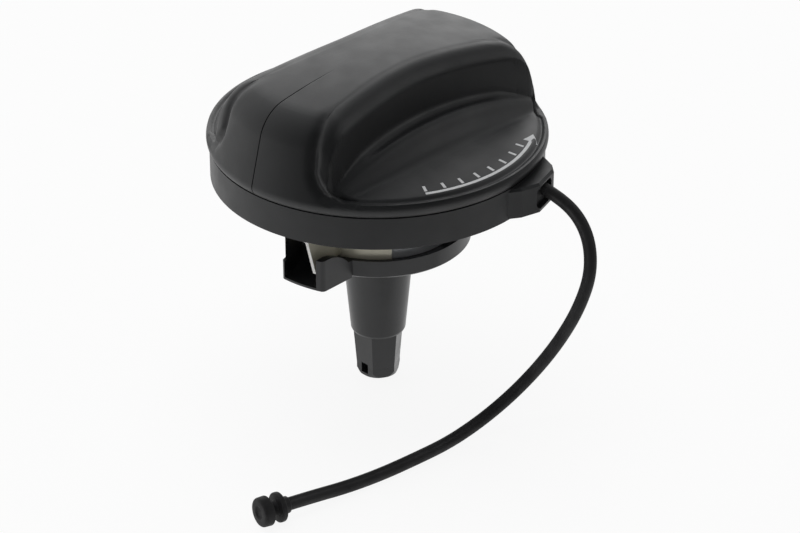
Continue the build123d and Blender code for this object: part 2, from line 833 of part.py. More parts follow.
# ---------------------------------------------------------------- valve stem and probe tip
def valve_stem():
    flange_low = core_foot - running_gap / 2 - stem_flange_height
    stem = turned([
        (stem_bore_top, core_foot - running_gap / 2),
        (stem_flange, core_foot - running_gap / 2),
        (stem_flange, flange_low),
        (stem_top_radius, flange_low),
        (stem_top_radius, carrier_foot),
        (stem_end_radius, stem_end + stem_end_round),
        (stem_end_radius - 0.3 * stem_end_round, stem_end + 0.3 * stem_end_round),
        (stem_end_radius - stem_end_round, stem_end),
        (stem_bore_end, stem_end),
        (stem_bore_end, stem_end + stem_end_wall),
        (stem_bore_end + tip_snap + running_gap, stem_end + stem_end_wall),
    ])
    groove_half = stem_seal_width / 2 + running_gap
    groove = tube(stem_seal_radius - groove_half, stem_seal_radius + groove_half,
                  core_foot - stem_seal_height, core_foot)
    return stem - groove


def stem_seal():
    """O-ring in the groove of the stem's flange, pressed flat by the closure's floor."""
    half = stem_seal_width / 2
    flat = half / 2
    foot = core_foot - stem_seal_height
    return turned([
        (stem_seal_radius - half, foot + running_gap),
        (stem_seal_radius - flat, foot),
        (stem_seal_radius + flat, foot),
        (stem_seal_radius + half, foot + running_gap),
        (stem_seal_radius + half, core_foot - running_gap),
        (stem_seal_radius + flat, core_foot),
        (stem_seal_radius - flat, core_foot),
        (stem_seal_radius - half, core_foot - running_gap),
    ])


def probe_tip():
    wide_hexagon = RegularPolygon(tip_top_radius, 6, rotation=30)
    narrow_hexagon = RegularPolygon(tip_foot_radius, 6, rotation=30)
    body = loft([Pos(0, 0, stem_end) * wide_hexagon, Pos(0, 0, tip_straight_foot) * narrow_hexagon])
    nose = Pos(0, 0, tip_end) * extrude(narrow_hexagon, tip_straight_foot - tip_end)
    ball = turned([
        (0, tip_straight_foot + overlap),
        (tip_top_radius, tip_straight_foot + overlap),
        (tip_foot_radius, tip_end + tip_round),
        (tip_foot_radius - 0.3 * tip_round, tip_end + 0.3 * tip_round),
        (tip_foot_radius - tip_round, tip_end),
        (0, tip_end),
    ])
    body += nose & ball
    hollow = tip_foot_radius * cos(radians(30)) - tip_wall
    body -= disc(hollow, tip_end + tip_wall, stem_end + tip_plug)
    plug_outer = stem_bore_end - tip_clearance
    plug_top = stem_end + tip_plug
    snap_level = stem_end + stem_end_wall + tip_clearance
    plug = tube(hollow, plug_outer, stem_end - overlap, plug_top)
    plug += turned([
        (hollow, snap_level),
        (plug_outer + tip_snap, snap_level),
        (plug_outer, plug_top),
        (hollow, plug_top),
    ])
    body += plug
    window_top = tip_window_foot + tip_window_height
    window = slab((-rim_radius, rim_radius), (-tip_window_width / 2, tip_window_width / 2),
                  (tip_window_foot, window_top))
    return body - window


# ---------------------------------------------------------------- valves inside the core
def pressure_gasket():
    return tube(gasket_hole, gasket_radius, gasket_foot, plate_foot)


def pressure_plate():
    plate = disc(plate_radius, plate_foot, plate_top)
    hub_top = plate_top + plate_hub_height
    plate += tube(plate_hub - plate_hub_wall, plate_hub, plate_top - overlap, hub_top)
    plate -= disc(plate_hole, plate_foot, plate_top)
    for number in range(plate_vents):
        x, y = polar(plate_hole, number * 360 / plate_vents)
        plate -= Pos(x, y, 0) * disc(plate_vent, plate_foot, plate_top)
    return plate


def vacuum_valve():
    """Mushroom valve that hangs in the plate and closes the hole in the gasket from below."""
    head_top = gasket_foot - running_gap / 2
    head_foot = head_top - vacuum_head_height
    groove_foot = vacuum_stem_top - vacuum_stem_tail - clip_height
    groove_top = groove_foot + clip_height + clip_clearance
    groove_radius = vacuum_stem - vacuum_groove
    return turned([
        (0, head_foot),
        (vacuum_head - vacuum_head_chamfer, head_foot),
        (vacuum_head, head_foot + vacuum_head_chamfer),
        (vacuum_head, head_top),
        (vacuum_stem, head_top),
        (vacuum_stem, groove_foot),
        (groove_radius, groove_foot),
        (groove_radius, groove_top),
        (vacuum_stem, groove_top),
        (vacuum_stem, vacuum_stem_top - vacuum_groove),
        (groove_radius, vacuum_stem_top),
        (0, vacuum_stem_top),
    ])


def vacuum_clip():
    """Slotted push-on clip in the groove of the vacuum valve's stem."""
    bore = vacuum_stem - vacuum_groove + clip_clearance
    mouth = clip_mouth * bore
    clip = tube(bore, clip_radius, clip_foot, clip_foot + clip_height)
    return clip - slab((0, clip_radius), (-mouth, mouth), (clip_foot, clip_foot + clip_height))


def vacuum_spring():
    return coil(vacuum_spring_radius, vacuum_spring_wire, plate_top, clip_foot, vacuum_spring_turns)


def pressure_spring():
    return coil(pressure_spring_radius, pressure_spring_wire, plate_top, retainer_seat,
                pressure_spring_turns)


def spring_retainer():
    """Spoked disc that closes the core and holds the pressure spring down."""
    outer = retainer_bore - retainer_clearance
    top = retainer_seat + retainer_height
    low_top = top - retainer_seat_drop
    rim = tube(outer - retainer_wall, outer, retainer_seat, top)
    seat = tube(retainer_hub, pressure_spring_radius + pressure_spring_wire, retainer_seat, low_top)
    half = retainer_spoke_width / 2
    spoke = slab((retainer_hub + overlap, outer - overlap), (-half, half), (retainer_seat, low_top))
    spokes = Part()
    for number in range(retainer_spokes):
        spokes += Rot(0, 0, number * 360 / retainer_spokes) * spoke
    return rim + seat + spokes


# ---------------------------------------------------------------- write one file per piece
spring = in_lug_frame(bayonet_spring())
pieces = {
    "grip_cover": grip_cover(),
    "tether_ring": tether_ring(),
    "strap_anchor": strap_anchor(),
    "tether_strap": tether_strap(),
    "tether_knob": tether_knob(),
    "closure_body": closure_body(),
    "valve_seat": valve_seat(),
    "main_seal": main_seal(),
    "ratchet_ring": ratchet_ring(),
    "core_sleeve": core_sleeve(),
    "lug_carrier": lug_carrier(),
    "bayonet_spring_left": spring,
    "bayonet_spring_right": Rot(0, 0, 180) * spring,
    "valve_stem": valve_stem(),
    "stem_seal": stem_seal(),
    "probe_tip": probe_tip(),
    "pressure_gasket": pressure_gasket(),
    "pressure_plate": pressure_plate(),
    "pressure_spring": pressure_spring(),
    "vacuum_valve": vacuum_valve(),
    "vacuum_clip": vacuum_clip(),
    "vacuum_spring": vacuum_spring(),
    "spring_retainer": spring_retainer(),
}
for name, piece in pieces.items():
    export_step(piece, f"parts/{name}.step")
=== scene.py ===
import math
import bpy
import numpy as np
from mathutils import Matrix, Vector


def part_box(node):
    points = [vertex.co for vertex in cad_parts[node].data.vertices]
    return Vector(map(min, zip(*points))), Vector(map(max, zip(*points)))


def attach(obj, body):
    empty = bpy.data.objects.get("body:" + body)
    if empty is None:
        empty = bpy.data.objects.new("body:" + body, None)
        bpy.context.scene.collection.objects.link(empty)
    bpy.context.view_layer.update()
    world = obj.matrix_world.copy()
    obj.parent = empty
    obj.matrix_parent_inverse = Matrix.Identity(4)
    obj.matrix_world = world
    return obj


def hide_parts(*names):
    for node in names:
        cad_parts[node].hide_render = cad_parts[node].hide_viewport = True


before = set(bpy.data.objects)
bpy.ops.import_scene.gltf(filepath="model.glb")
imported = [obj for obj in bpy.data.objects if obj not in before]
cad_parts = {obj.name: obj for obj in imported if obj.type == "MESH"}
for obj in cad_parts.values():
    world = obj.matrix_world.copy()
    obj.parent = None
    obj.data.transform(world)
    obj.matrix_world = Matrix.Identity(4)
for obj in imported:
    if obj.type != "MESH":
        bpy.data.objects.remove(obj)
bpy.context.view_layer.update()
mm = 0.001
print("frame loaded")


camera = {
    "pitch": 29.78,             # degrees above the horizon
    "azimuth": -45.5,           # degrees round the cap's axis
    "distance": 0.700,          # m, like the next three
    "aim": (0, 0, 0.0082),
    "right": 0.00554,           # from the aim, so that the cap stands left of and above the middle
    "up": -0.0324,
    "lens": 128.3,              # mm
    "sensor": 36,               # mm
    "clip": (0.01, 50),         # m
}


def makeCamera():
    pitch = math.radians(camera["pitch"])
    azimuth = math.radians(camera["azimuth"])
    right = Vector((math.cos(azimuth), math.sin(azimuth), 0))
    level = math.cos(pitch)
    back = Vector((math.sin(azimuth) * level, -math.cos(azimuth) * level, math.sin(pitch)))
    up = back.cross(right)
    place = Vector(camera["aim"]) + right * camera["right"] + up * camera["up"] + back * camera["distance"]
    data = bpy.data.cameras.new("camera")
    data.lens = camera["lens"]
    data.sensor_width = camera["sensor"]
    data.clip_start, data.clip_end = camera["clip"]
    made = bpy.data.objects.new("camera", data)
    turn = Matrix((right, up, back)).transposed()
    made.matrix_world = Matrix.Translation(place) @ turn.to_4x4()
    bpy.context.scene.collection.objects.link(made)
    bpy.context.scene.camera = made


makeCamera()
print("camera")


# sRGB hex code to linear colour: the sRGB curve undone on each of the three values
def linear(code):
    values = [int(code[i:i + 2], 16) / 255 for i in (1, 3, 5)]
    return [v / 12.92 if v <= 0.04045 else ((v + 0.055) / 1.055) ** 2.4 for v in values] + [1]


def newMaterial(name):
    made = bpy.data.materials.new(name)
    made.use_nodes = True
    made.node_tree.nodes.clear()
    return made


# adds a node, sets its properties, fills or links its inputs and gives one output: i0 is the first input, a
# named input has _ for each space, and out is the output's number or name
def add(tree, kind, settings=None, out=0, **inputs):
    made = tree.nodes.new(kind)
    for key, value in (settings or {}).items():
        setattr(made, key, value)
    for key, value in inputs.items():
        socket = made.inputs[int(key[1:]) if key[1:].isdigit() else key.replace("_", " ")]
        if isinstance(value, bpy.types.NodeSocket):
            tree.links.new(value, socket)
        else:
            socket.default_value = value
    return made.outputs[out] if made.outputs else None


# rises from 0 on flats along edges: one minus the dot product of the normal and its rounded copy
def edgeLine(tree, reach):
    rounded = add(tree, "ShaderNodeBevel", {"samples": 6}, Radius=reach * mm)
    plain = add(tree, "ShaderNodeNewGeometry", out="Normal")
    both = add(tree, "ShaderNodeVectorMath", {"operation": "DOT_PRODUCT"}, "Value", i0=rounded, i1=plain)
    return add(tree, "ShaderNodeMath", {"operation": "SUBTRACT", "use_clamp": True}, i0=1.0, i1=both)


# noise lies mostly between 0.3 and 0.7: a map range over that part gives soft clouds, and a narrower one
# gives clearer ones
softClouds = {"i1": 0.3, "i2": 0.7}
clearClouds = {"i1": 0.35, "i2": 0.65}

plastic = {
    "driftSize": 18,            # mm, clouds of uneven pigment
    "driftShare": 0.35,         # of the paler colour in them at most
    "sheenSize": 6,             # mm, clouds of gloss
    "grainSize": 0.22,          # mm; the real grain is finer than a pixel, so it is drawn coarser to show
    "grainDepth": 0.012,        # mm
    "pitSize": 3.1,             # of the wider pits, times the grain's size
    "pitShare": 0.8,
    "gloss": (0.4, 0.48),       # lowest and highest roughness
    "edgeReach": 0.5,           # mm, how far the paler edge reaches: rubbing wear and painted highlight
    "edgeSpan": (0.02, 0.35),   # of the edge line, from plain to fully paler
    "edgeShare": 0.8,
}
seamLine = {
    "halfWidth": 0.09,          # mm
    "softness": 2.4,            # times the half width, where it ends
    "fade": (-26, -14),         # mm along the bar, where it dies out
    "colour": "#0b0b0c",
    "depth": 9.0,               # against a grain height of about 1
    "specular": 0.04,
}


# moulded plastic: spark-eroded grain that breaks up the shine, clouds of sheen, a slow drift of tone, and
# edges painted paler, partly rubbed by hands and partly a painted highlight. With seam it has the dark line
# that the mould leaves across the crown
def mouldedPlastic(name, colour, paleToneAndHighlight, grain=plastic["grainSize"], depth=plastic["grainDepth"],
                   gloss=plastic["gloss"], specular=0.5, seam=False):
    made = newMaterial(name)
    tree = made.node_tree
    point = add(tree, "ShaderNodeTexCoord", out="Object")
    drift = add(tree, "ShaderNodeTexNoise", Vector=point, Scale=1 / (plastic["driftSize"] * mm), Detail=3)
    fine = add(tree, "ShaderNodeTexNoise", Vector=point, Scale=1 / (grain * mm))
    pits = add(tree, "ShaderNodeTexNoise", Vector=point, Scale=1 / (grain * plastic["pitSize"] * mm))
    sheen = add(tree, "ShaderNodeTexNoise", Vector=point, Scale=1 / (plastic["sheenSize"] * mm), Detail=4)
    drift = add(tree, "ShaderNodeMapRange", i0=drift, **clearClouds, i4=plastic["driftShare"])
    # painted edge highlight with some rubbing wear: every edge is mixed towards the paler colour
    wearAndHighlightEdge = edgeLine(tree, plastic["edgeReach"])
    low, high = plastic["edgeSpan"]
    wearAndHighlightEdge = add(tree, "ShaderNodeMapRange", i0=wearAndHighlightEdge, i1=low, i2=high, i4=plastic["edgeShare"])
    blend = {"data_type": "RGBA"}
    tone = add(tree, "ShaderNodeMix", blend, 2, i0=drift, i6=linear(colour), i7=linear(paleToneAndHighlight))
    tone = add(tree, "ShaderNodeMix", blend, 2, i0=wearAndHighlightEdge, i6=tone, i7=linear(paleToneAndHighlight))
    pits = add(tree, "ShaderNodeMath", {"operation": "MULTIPLY"}, i0=pits, i1=plastic["pitShare"])
    height = add(tree, "ShaderNodeMath", {"operation": "ADD"}, i0=fine, i1=pits)
    rough = add(tree, "ShaderNodeMapRange", i0=sheen, **softClouds, i3=gloss[0], i4=gloss[1])
    if seam:
        half = seamLine["halfWidth"] * mm
        most = half * seamLine["softness"]
        start, stop = seamLine["fade"]
        along = add(tree, "ShaderNodeSeparateXYZ", out="X", Vector=point)
        away = add(tree, "ShaderNodeSeparateXYZ", out="Y", Vector=point)
        away = add(tree, "ShaderNodeMath", {"operation": "ABSOLUTE"}, i0=away)
        line = add(tree, "ShaderNodeMapRange", i0=away, i1=half, i2=most, i3=1.0, i4=0.0)
        fade = add(tree, "ShaderNodeMapRange", i0=along, i1=start * mm, i2=stop * mm, i3=1.0, i4=0.0)
        line = add(tree, "ShaderNodeMath", {"operation": "MULTIPLY"}, i0=line, i1=fade)
        tone = add(tree, "ShaderNodeMix", blend, 2, i0=line, i6=tone, i7=linear(seamLine["colour"]))
        cut = add(tree, "ShaderNodeMath", {"operation": "MULTIPLY"}, i0=line, i1=seamLine["depth"])
        height = add(tree, "ShaderNodeMath", {"operation": "SUBTRACT"}, i0=height, i1=cut)
        specular = add(tree, "ShaderNodeMapRange", i0=line, i3=specular, i4=seamLine["specular"])
    bump = add(tree, "ShaderNodeBump", Strength=1.0, Distance=depth * mm, Height=height)
    shader = add(tree, "ShaderNodeBsdfPrincipled", Base_Color=tone, Roughness=rough, Normal=bump,
                 Specular_IOR_Level=specular)
    add(tree, "ShaderNodeOutputMaterial", Surface=shader)
    return made


rubberSkin = {
    "bloomSize": 7,             # mm, clouds of grey bloom
    "bloomSpan": (0.35, 0.7),   # of the noise, from bare to full bloom
    "bloomShare": 0.5,
    "skinSize": 0.4,            # mm; a rubber skin is finer, and is drawn coarser to show
    "pitSize": 2,               # mm
    "pitShare": 0.5,
    "depth": 0.03,              # mm
    "dullSize": 4,              # mm
    "dullness": (0.55, 0.75),   # lowest and highest roughness
}


# thermoplastic elastomer or nitrile rubber, moulded: dull, with a soft grey bloom and a fine pitted skin
def rubber(name, colour, bloom, specular):
    made = newMaterial(name)
    tree = made.node_tree
    point = add(tree, "ShaderNodeTexCoord", out="Object")
    clouds = add(tree, "ShaderNodeTexNoise", Vector=point, Scale=1 / (rubberSkin["bloomSize"] * mm), Detail=4,
                 Roughness=0.6)
    low, high = rubberSkin["bloomSpan"]
    clouds = add(tree, "ShaderNodeMapRange", i0=clouds, i1=low, i2=high, i4=rubberSkin["bloomShare"])
    blend = {"data_type": "RGBA"}
    tone = add(tree, "ShaderNodeMix", blend, 2, i0=clouds, i6=linear(colour), i7=linear(bloom))
    skin = add(tree, "ShaderNodeTexNoise", Vector=point, Scale=1 / (rubberSkin["skinSize"] * mm), Detail=3)
    pits = add(tree, "ShaderNodeTexNoise", Vector=point, Scale=1 / (rubberSkin["pitSize"] * mm))
    pits = add(tree, "ShaderNodeMath", {"operation": "MULTIPLY"}, i0=pits, i1=rubberSkin["pitShare"])
    height = add(tree, "ShaderNodeMath", {"operation": "ADD"}, i0=skin, i1=pits)
    bump = add(tree, "ShaderNodeBump", Strength=1.0, Distance=rubberSkin["depth"] * mm, Height=height)
    dull = add(tree, "ShaderNodeTexNoise", Vector=point, Scale=1 / (rubberSkin["dullSize"] * mm), Detail=3)
    low, high = rubberSkin["dullness"]
    rough = add(tree, "ShaderNodeMapRange", i0=dull, **softClouds, i3=low, i4=high)
    shader = add(tree, "ShaderNodeBsdfPrincipled", Base_Color=tone, Roughness=rough, Normal=bump,
                 Specular_IOR_Level=specular)
    add(tree, "ShaderNodeOutputMaterial", Surface=shader)
    return made


steel = {
    "lineSize": 2.2,            # mm across the lines; rolling marks are finer, and are drawn coarser to show
    "lineStretch": 14,          # times shorter across than along
    "lineDepth": 0.006,         # mm
    "cloudSize": 9,             # mm, clouds of tarnish
    "cloudShare": 0.6,
    "edgeReach": 0.3,           # mm, width of the painted edge highlight
    "edgeSpan": (0.05, 0.4),    # of the edge line, from plain to full painted highlight
    "shearedHighlightColour": "#f6f5f2",
    "shearedHighlightMetal": 0.2,
    "shearedHighlightOver": 0.1,         # mm, over which the paler sheared look and painted highlight come in
}


# rolled or drawn steel: fine lines round the cap's axis, or along the wire, and edges painted brighter as a
# highlight. Farther from the axis than shearedHighlightFrom, in mm, the end faces are painted near white:
# partly the bare sheared steel, partly a painted highlight. Metal is below 1 where plating or tarnish dulls
# the steel
def sheetSteel(name, colour, shade, edgeHighlight, roughness, around=True, shearedHighlightFrom=None, metal=1.0):
    made = newMaterial(name)
    tree = made.node_tree
    point = add(tree, "ShaderNodeTexCoord", out="Object")
    short = steel["lineStretch"]
    stretch = (1, 1, short) if around else (short, short, 1)
    lines = add(tree, "ShaderNodeMapping", Vector=point, Scale=stretch)
    rolled = add(tree, "ShaderNodeTexNoise", Vector=lines, Scale=1 / (steel["lineSize"] * mm), Detail=4,
                 Roughness=0.65)
    clouds = add(tree, "ShaderNodeTexNoise", Vector=point, Scale=1 / (steel["cloudSize"] * mm), Detail=3)
    clouds = add(tree, "ShaderNodeMapRange", i0=clouds, **clearClouds, i4=steel["cloudShare"])
    blend = {"data_type": "RGBA"}
    tone = add(tree, "ShaderNodeMix", blend, 2, i0=clouds, i6=linear(colour), i7=linear(shade))
    # painted highlight: every edge is mixed towards the edgeHighlight colour
    low, high = steel["edgeSpan"]
    rim = add(tree, "ShaderNodeMapRange", i0=edgeLine(tree, steel["edgeReach"]), i1=low, i2=high)
    tone = add(tree, "ShaderNodeMix", blend, 2, i0=rim, i6=tone, i7=linear(edgeHighlight))
    rough = add(tree, "ShaderNodeMapRange", i0=rolled, **softClouds, i3=roughness[0], i4=roughness[1])
    bump = add(tree, "ShaderNodeBump", Strength=0.5, Distance=steel["lineDepth"] * mm, Height=rolled)
    if shearedHighlightFrom:
        # bare steel and painted highlight: faces beyond that radius are coloured near white
        level = add(tree, "ShaderNodeVectorMath", {"operation": "MULTIPLY"}, i0=point, i1=(1, 1, 0))
        radius = add(tree, "ShaderNodeVectorMath", {"operation": "LENGTH"}, "Value", i0=level)
        full = shearedHighlightFrom + steel["shearedHighlightOver"]
        cut = add(tree, "ShaderNodeMapRange", i0=radius, i1=shearedHighlightFrom * mm, i2=full * mm)
        tone = add(tree, "ShaderNodeMix", blend, 2, i0=cut, i6=tone, i7=linear(steel["shearedHighlightColour"]))
        metal = add(tree, "ShaderNodeMapRange", i0=cut, i3=metal, i4=steel["shearedHighlightMetal"])
    shader = add(tree, "ShaderNodeBsdfPrincipled", Base_Color=tone, Roughness=rough, Normal=bump,
                 Metallic=metal)
    add(tree, "ShaderNodeOutputMaterial", Surface=shader)
    return made


acetalSkin = {
    "toneSize": 5,              # mm, clouds of tone
    "skinSize": 0.4,            # mm; the moulded skin is finer, and is drawn coarser to show
    "depth": 0.01,              # mm
    "sheenSize": 3,             # mm
    "gloss": (0.3, 0.42),       # lowest and highest roughness
    "glow": 0.15,               # share of light that goes in and comes out again
    "glowDepth": 2,             # mm
}


# natural acetal, moulded: ivory with a waxy gloss, and light goes a little way into it
def acetal(name, colour, shade):
    made = newMaterial(name)
    tree = made.node_tree
    point = add(tree, "ShaderNodeTexCoord", out="Object")
    clouds = add(tree, "ShaderNodeTexNoise", Vector=point, Scale=1 / (acetalSkin["toneSize"] * mm), Detail=3)
    blend = {"data_type": "RGBA"}
    tone = add(tree, "ShaderNodeMix", blend, 2, i0=clouds, i6=linear(colour), i7=linear(shade))
    skin = add(tree, "ShaderNodeTexNoise", Vector=point, Scale=1 / (acetalSkin["skinSize"] * mm))
    bump = add(tree, "ShaderNodeBump", Strength=0.6, Distance=acetalSkin["depth"] * mm, Height=skin)
    sheen = add(tree, "ShaderNodeTexNoise", Vector=point, Scale=1 / (acetalSkin["sheenSize"] * mm), Detail=3)
    low, high = acetalSkin["gloss"]
    rough = add(tree, "ShaderNodeMapRange", i0=sheen, **softClouds, i3=low, i4=high)
    shader = add(tree, "ShaderNodeBsdfPrincipled", Base_Color=tone, Roughness=rough, Normal=bump,
                 Subsurface_Weight=acetalSkin["glow"], Subsurface_Scale=acetalSkin["glowDepth"] * mm)
    add(tree, "ShaderNodeOutputMaterial", Surface=shader)
    return made


ink = {
    "wearSize": 0.6,            # mm, specks where the plastic comes through
    "wearSpan": (0.55, 0.75),   # of the noise, from whole to worn ink
    "wearShare": 0.6,
    "filmSize": 0.3,            # mm, unevenness of the film, drawn coarser than it is
    "filmDepth": 0.01,          # mm
    "dullness": (0.5, 0.65),    # roughness of whole and of worn ink
}


# pad-printed ink: flat and a little worn, with the plastic under it showing in specks
def printInk(name, colour, worn):
    made = newMaterial(name)
    tree = made.node_tree
    point = add(tree, "ShaderNodeTexCoord", out="Object")
    wear = add(tree, "ShaderNodeTexNoise", Vector=point, Scale=1 / (ink["wearSize"] * mm), Detail=4,
               Roughness=0.7)
    low, high = ink["wearSpan"]
    wear = add(tree, "ShaderNodeMapRange", i0=wear, i1=low, i2=high, i4=ink["wearShare"])
    tone = add(tree, "ShaderNodeMix", {"data_type": "RGBA"}, 2, i0=wear, i6=linear(colour), i7=linear(worn))
    film = add(tree, "ShaderNodeTexNoise", Vector=point, Scale=1 / (ink["filmSize"] * mm))
    bump = add(tree, "ShaderNodeBump", Strength=0.5, Distance=ink["filmDepth"] * mm, Height=film)
    low, high = ink["dullness"]
    rough = add(tree, "ShaderNodeMapRange", i0=wear, i2=ink["wearShare"], i3=low, i4=high)
    shader = add(tree, "ShaderNodeBsdfPrincipled", Base_Color=tone, Roughness=rough, Normal=bump)
    add(tree, "ShaderNodeOutputMaterial", Surface=shader)
    return made


finishes = {
    # satin black with a fine grain that holds broad soft highlights
    "gripPolypropylene": mouldedPlastic("grip polypropylene", "#1b1c1d", "#262729", seam=True),
    # the same, with paler edges
    "ringPolypropylene": mouldedPlastic("ring polypropylene", "#1c1d1e", "#2c2d2f", specular=0.45),
    # smoother, with a slight gloss
    "blackAcetal": mouldedPlastic("black acetal", "#17181a", "#2f3032", grain=0.4, depth=0.008,
                                  gloss=(0.3, 0.4)),
    # the glossiest of the blacks, with long highlights down the stem
    "blackNylon": mouldedPlastic("black nylon", "#1b1c1d", "#333436", grain=0.3, gloss=(0.27, 0.37)),
    # dull dark grey that feels soft to the eye
    "strapElastomer": rubber("strap elastomer", "#1d1d1e", "#303031", 0.35),
    # the dullest and darkest
    "nitrileRubber": rubber("nitrile rubber", "#151515", "#282828", 0.2),
    # warm pale sheet; its sheared ends painted white, partly bare steel and partly painted highlight
    "springSteel": sheetSteel("bayonet spring steel", "#dcd8c6", "#c9c4b2", "#f2f0e6", (0.42, 0.56),
                              shearedHighlightFrom=31.9, metal=0.3),
    # cool pale grey with blurred reflections
    "sleeveSteel": sheetSteel("zinc-plated sleeve steel", "#c3c5c8", "#a4a6aa", "#e2e3e4", (0.5, 0.62),
                              metal=0.4),
    # mid grey, shiny along the wire
    "springWire": sheetSteel("spring wire", "#9a9a98", "#7c7c7b", "#d5d5d3", (0.25, 0.4), around=False),
    # ivory, waxy
    "naturalAcetal": acetal("natural acetal", "#dedcd2", "#cfccbf"),
    # matt pale grey
    "paleInk": printInk("pale print ink", "#c6c7c8", "#8f9092"),
}
nodeFinish = {
    "tether_ring": "ringPolypropylene",
    "strap_anchor": "strapElastomer",
    "closure_body": "blackAcetal",
    "valve_seat": "blackAcetal",
    "main_seal": "nitrileRubber",
    "ratchet_ring": "naturalAcetal",
    "core_sleeve": "sleeveSteel",
    "lug_carrier": "blackAcetal",
    "bayonet_spring_left": "springSteel",
    "bayonet_spring_right": "springSteel",
    "valve_stem": "blackNylon",
    "stem_seal": "nitrileRubber",
    "probe_tip": "blackNylon",
    "pressure_gasket": "nitrileRubber",
    "pressure_plate": "naturalAcetal",
    "pressure_spring": "springWire",
    "vacuum_valve": "naturalAcetal",
    "vacuum_clip": "springWire",
    "vacuum_spring": "springWire",
    "spring_retainer": "naturalAcetal",
}
for name, finish in nodeFinish.items():
    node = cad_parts[name]
    if not node.material_slots:
        node.data.materials.append(finishes[finish])
    for place in node.material_slots:
        place.material = finishes[finish]
print("materials")


# a mesh object from points in mm and lists of their numbers; edges bent by more than sharp degrees stay sharp
def meshPiece(name, points, faces, finish, sharp=35):
    mesh = bpy.data.meshes.new(name)
    mesh.from_pydata((np.asarray(points) * mm).tolist(), [], faces)
    mesh.validate()
    mesh.shade_smooth()
    mesh.set_sharp_from_angle(angle=math.radians(sharp))
    mesh.materials.append(finishes[finish])
    made = bpy.data.objects.new(name, mesh)
    bpy.context.scene.collection.objects.link(made)
    return made


# a closed mesh from a grid of points (rows, columns, 3): the columns go round, anticlockwise as seen from
# beyond the first row, and a pole point closes each end
def gridPiece(name, grid, poles, finish, sharp=35):
    rows, columns = grid.shape[:2]
    index = np.arange(rows * columns).reshape(rows, columns)
    after = np.roll(index, -1, axis=1)
    faces = np.stack([index[:-1], index[1:], after[1:], after[:-1]], axis=-1).reshape(-1, 4).tolist()
    first, last = rows * columns, rows * columns + 1
    faces += np.stack([np.full(columns, first), index[0], after[0]], axis=-1).tolist()
    faces += np.stack([index[-1], np.full(columns, last), after[-1]], axis=-1).tolist()
    return meshPiece(name, np.vstack([grid.reshape(-1, 3), poles]), faces, finish, sharp)


# the round of radius arc between two lines of slope left and right that meet at (place, level): its centre
# lies from there along the sum of their normals. Gives the centre and the places of the two tangent points;
# side is 1 for a crest and -1 for a hollow
def roundBetween(place, level, left, right, arc, side):
    leftNormal = np.stack([-np.sin(np.arctan(left)), np.cos(np.arctan(left))])
    rightNormal = np.stack([-np.sin(np.arctan(right)), np.cos(np.arctan(right))])
    share = arc / (1 + (leftNormal * rightNormal).sum(axis=0))
    centre = np.stack([place, level]) - side * share * (leftNormal + rightNormal)
    return centre, (centre + side * arc * leftNormal)[0], (centre + side * arc * rightNormal)[0]


# the lower of two heights, with a parabola in place of the corner where they come within blend of each other
def smoothLower(a, b, blend):
    gap = np.clip(0.5 + 0.5 * (b - a) / blend, 0, 1)
    return b + (a - b) * gap - blend * gap * (1 - gap)


def smoothUpper(a, b, blend):
    return -smoothLower(-a, -b, blend)


grip = {                        # mm and degrees
    "rimRadius": 42.0,
    "bulgeLevel": 9.4,
    "bulgeArc": 2.9,
    "bulgeSteps": 12,
    "partingLevel": 7.4,
    "sideLean": 15.0,
    "cornerArc": 9.5,
    "crownArc": 175.0,
    "crownTop": 31.4,
    "crestWidth": 12.1,         # half width of the bar at its middle, where flank and crown would meet
    "crestSpread": 2.4,         # how much wider it is crestSpreadAt from the middle
    "crestSpreadAt": 24.0,
    "crestPower": 1.6,
    "crestArc": 6.0,
    "crestSlope": -1.0,         # steepest crown slope that the crest's round starts from
    "slopeStep": 0.05,          # for the crown's slope, by difference
    "flank": 52.0,              # slope below the crest
    "creaseOut": 2.5,           # from the corner to the crease where the hollow's wall begins
    "creaseRound": 0.5,
    "coveArc": 2.0,
    "coveLeast": 0.5,
    "coveShare": 0.9,           # of the room between wall and rib that the cove's round takes at most
    "wallLean": 6.0,
    "ribPlace": 20.2,
    "ribLevel": 19.6,
    "ribFall": 5.9,             # by ribFallAt from the middle
    "ribFallAt": 33.5,
    "ribPower": 2.2,
    "floorRise": 20.0,
    "ribFront": 58.0,           # slope outside the rib
    "ribRound": 2.4,            # blend of floor and front
    "dishRound": 2.2,           # blend of front and dish
    "dishRise": 0.35,           # of the dish's edge over the land
    "dishSlope": 0.16,
    "hollowEnd": 30.5,
    "endFoot": 1.5,             # of the end wall, under the rib
    "endRound": 2.0,
    "endLean": 38.0,
    "cornerFrom": 17.0,         # where the hollow's end turns out to the rim
    "cornerTurn": 1.5,          # how fast it does
    "overRise": 0.3,            # slope at which the hollow's surface stays over the drum inside the crest
    "edgeRound": 0.35,          # blend of drum and hollow
    "edgeRoundMore": 1.3,       # what the bar's ends add to it
    "edgeMoreFrom": 25.0,       # along the bar
    "edgeMoreOver": 7.0,
    "edgeMoreInside": 19.0,     # across it
    "edgeMoreFade": 3.0,
    "grooveFrom": 39.3,
    "grooveTo": 41.0,
    "grooveDepth": 0.55,
    "grooveShare": 0.75,        # of its half width, where the groove is 1/e as deep
    "landLevel": 10.95,
    "channelDepth": 1.05,
    "channelWidth": 1.15,
    "lipDrop": (0.15, 0.08),    # in from the edge and down from the parting level
    "lipFlat": (0.8, 0.05),
    "landBevel": 0.2,
    "spigot": (37.0, 39.0, 1.0),    # inner radius, outer radius and foot
    "spigotBevel": 0.3,
    "ceiling": 9.0,
    "ceilingBevel": 0.5,
}
channelPath = np.array([        # runs round the hollow's end, from the crown down to the dish
    (30.2, 12.6, 27.2),
    (31.3, 13.1, 26.6),
    (34.0, 14.2, 24.3),
    (35.8, 14.9, 21.3),
    (37.0, 15.5, 16.8),
    (37.1, 16.8, 14.3),
    (36.6, 18.6, 12.2),
    (34.8, 21.4, 10.8),
    (32.4, 24.6, 10.5),
])
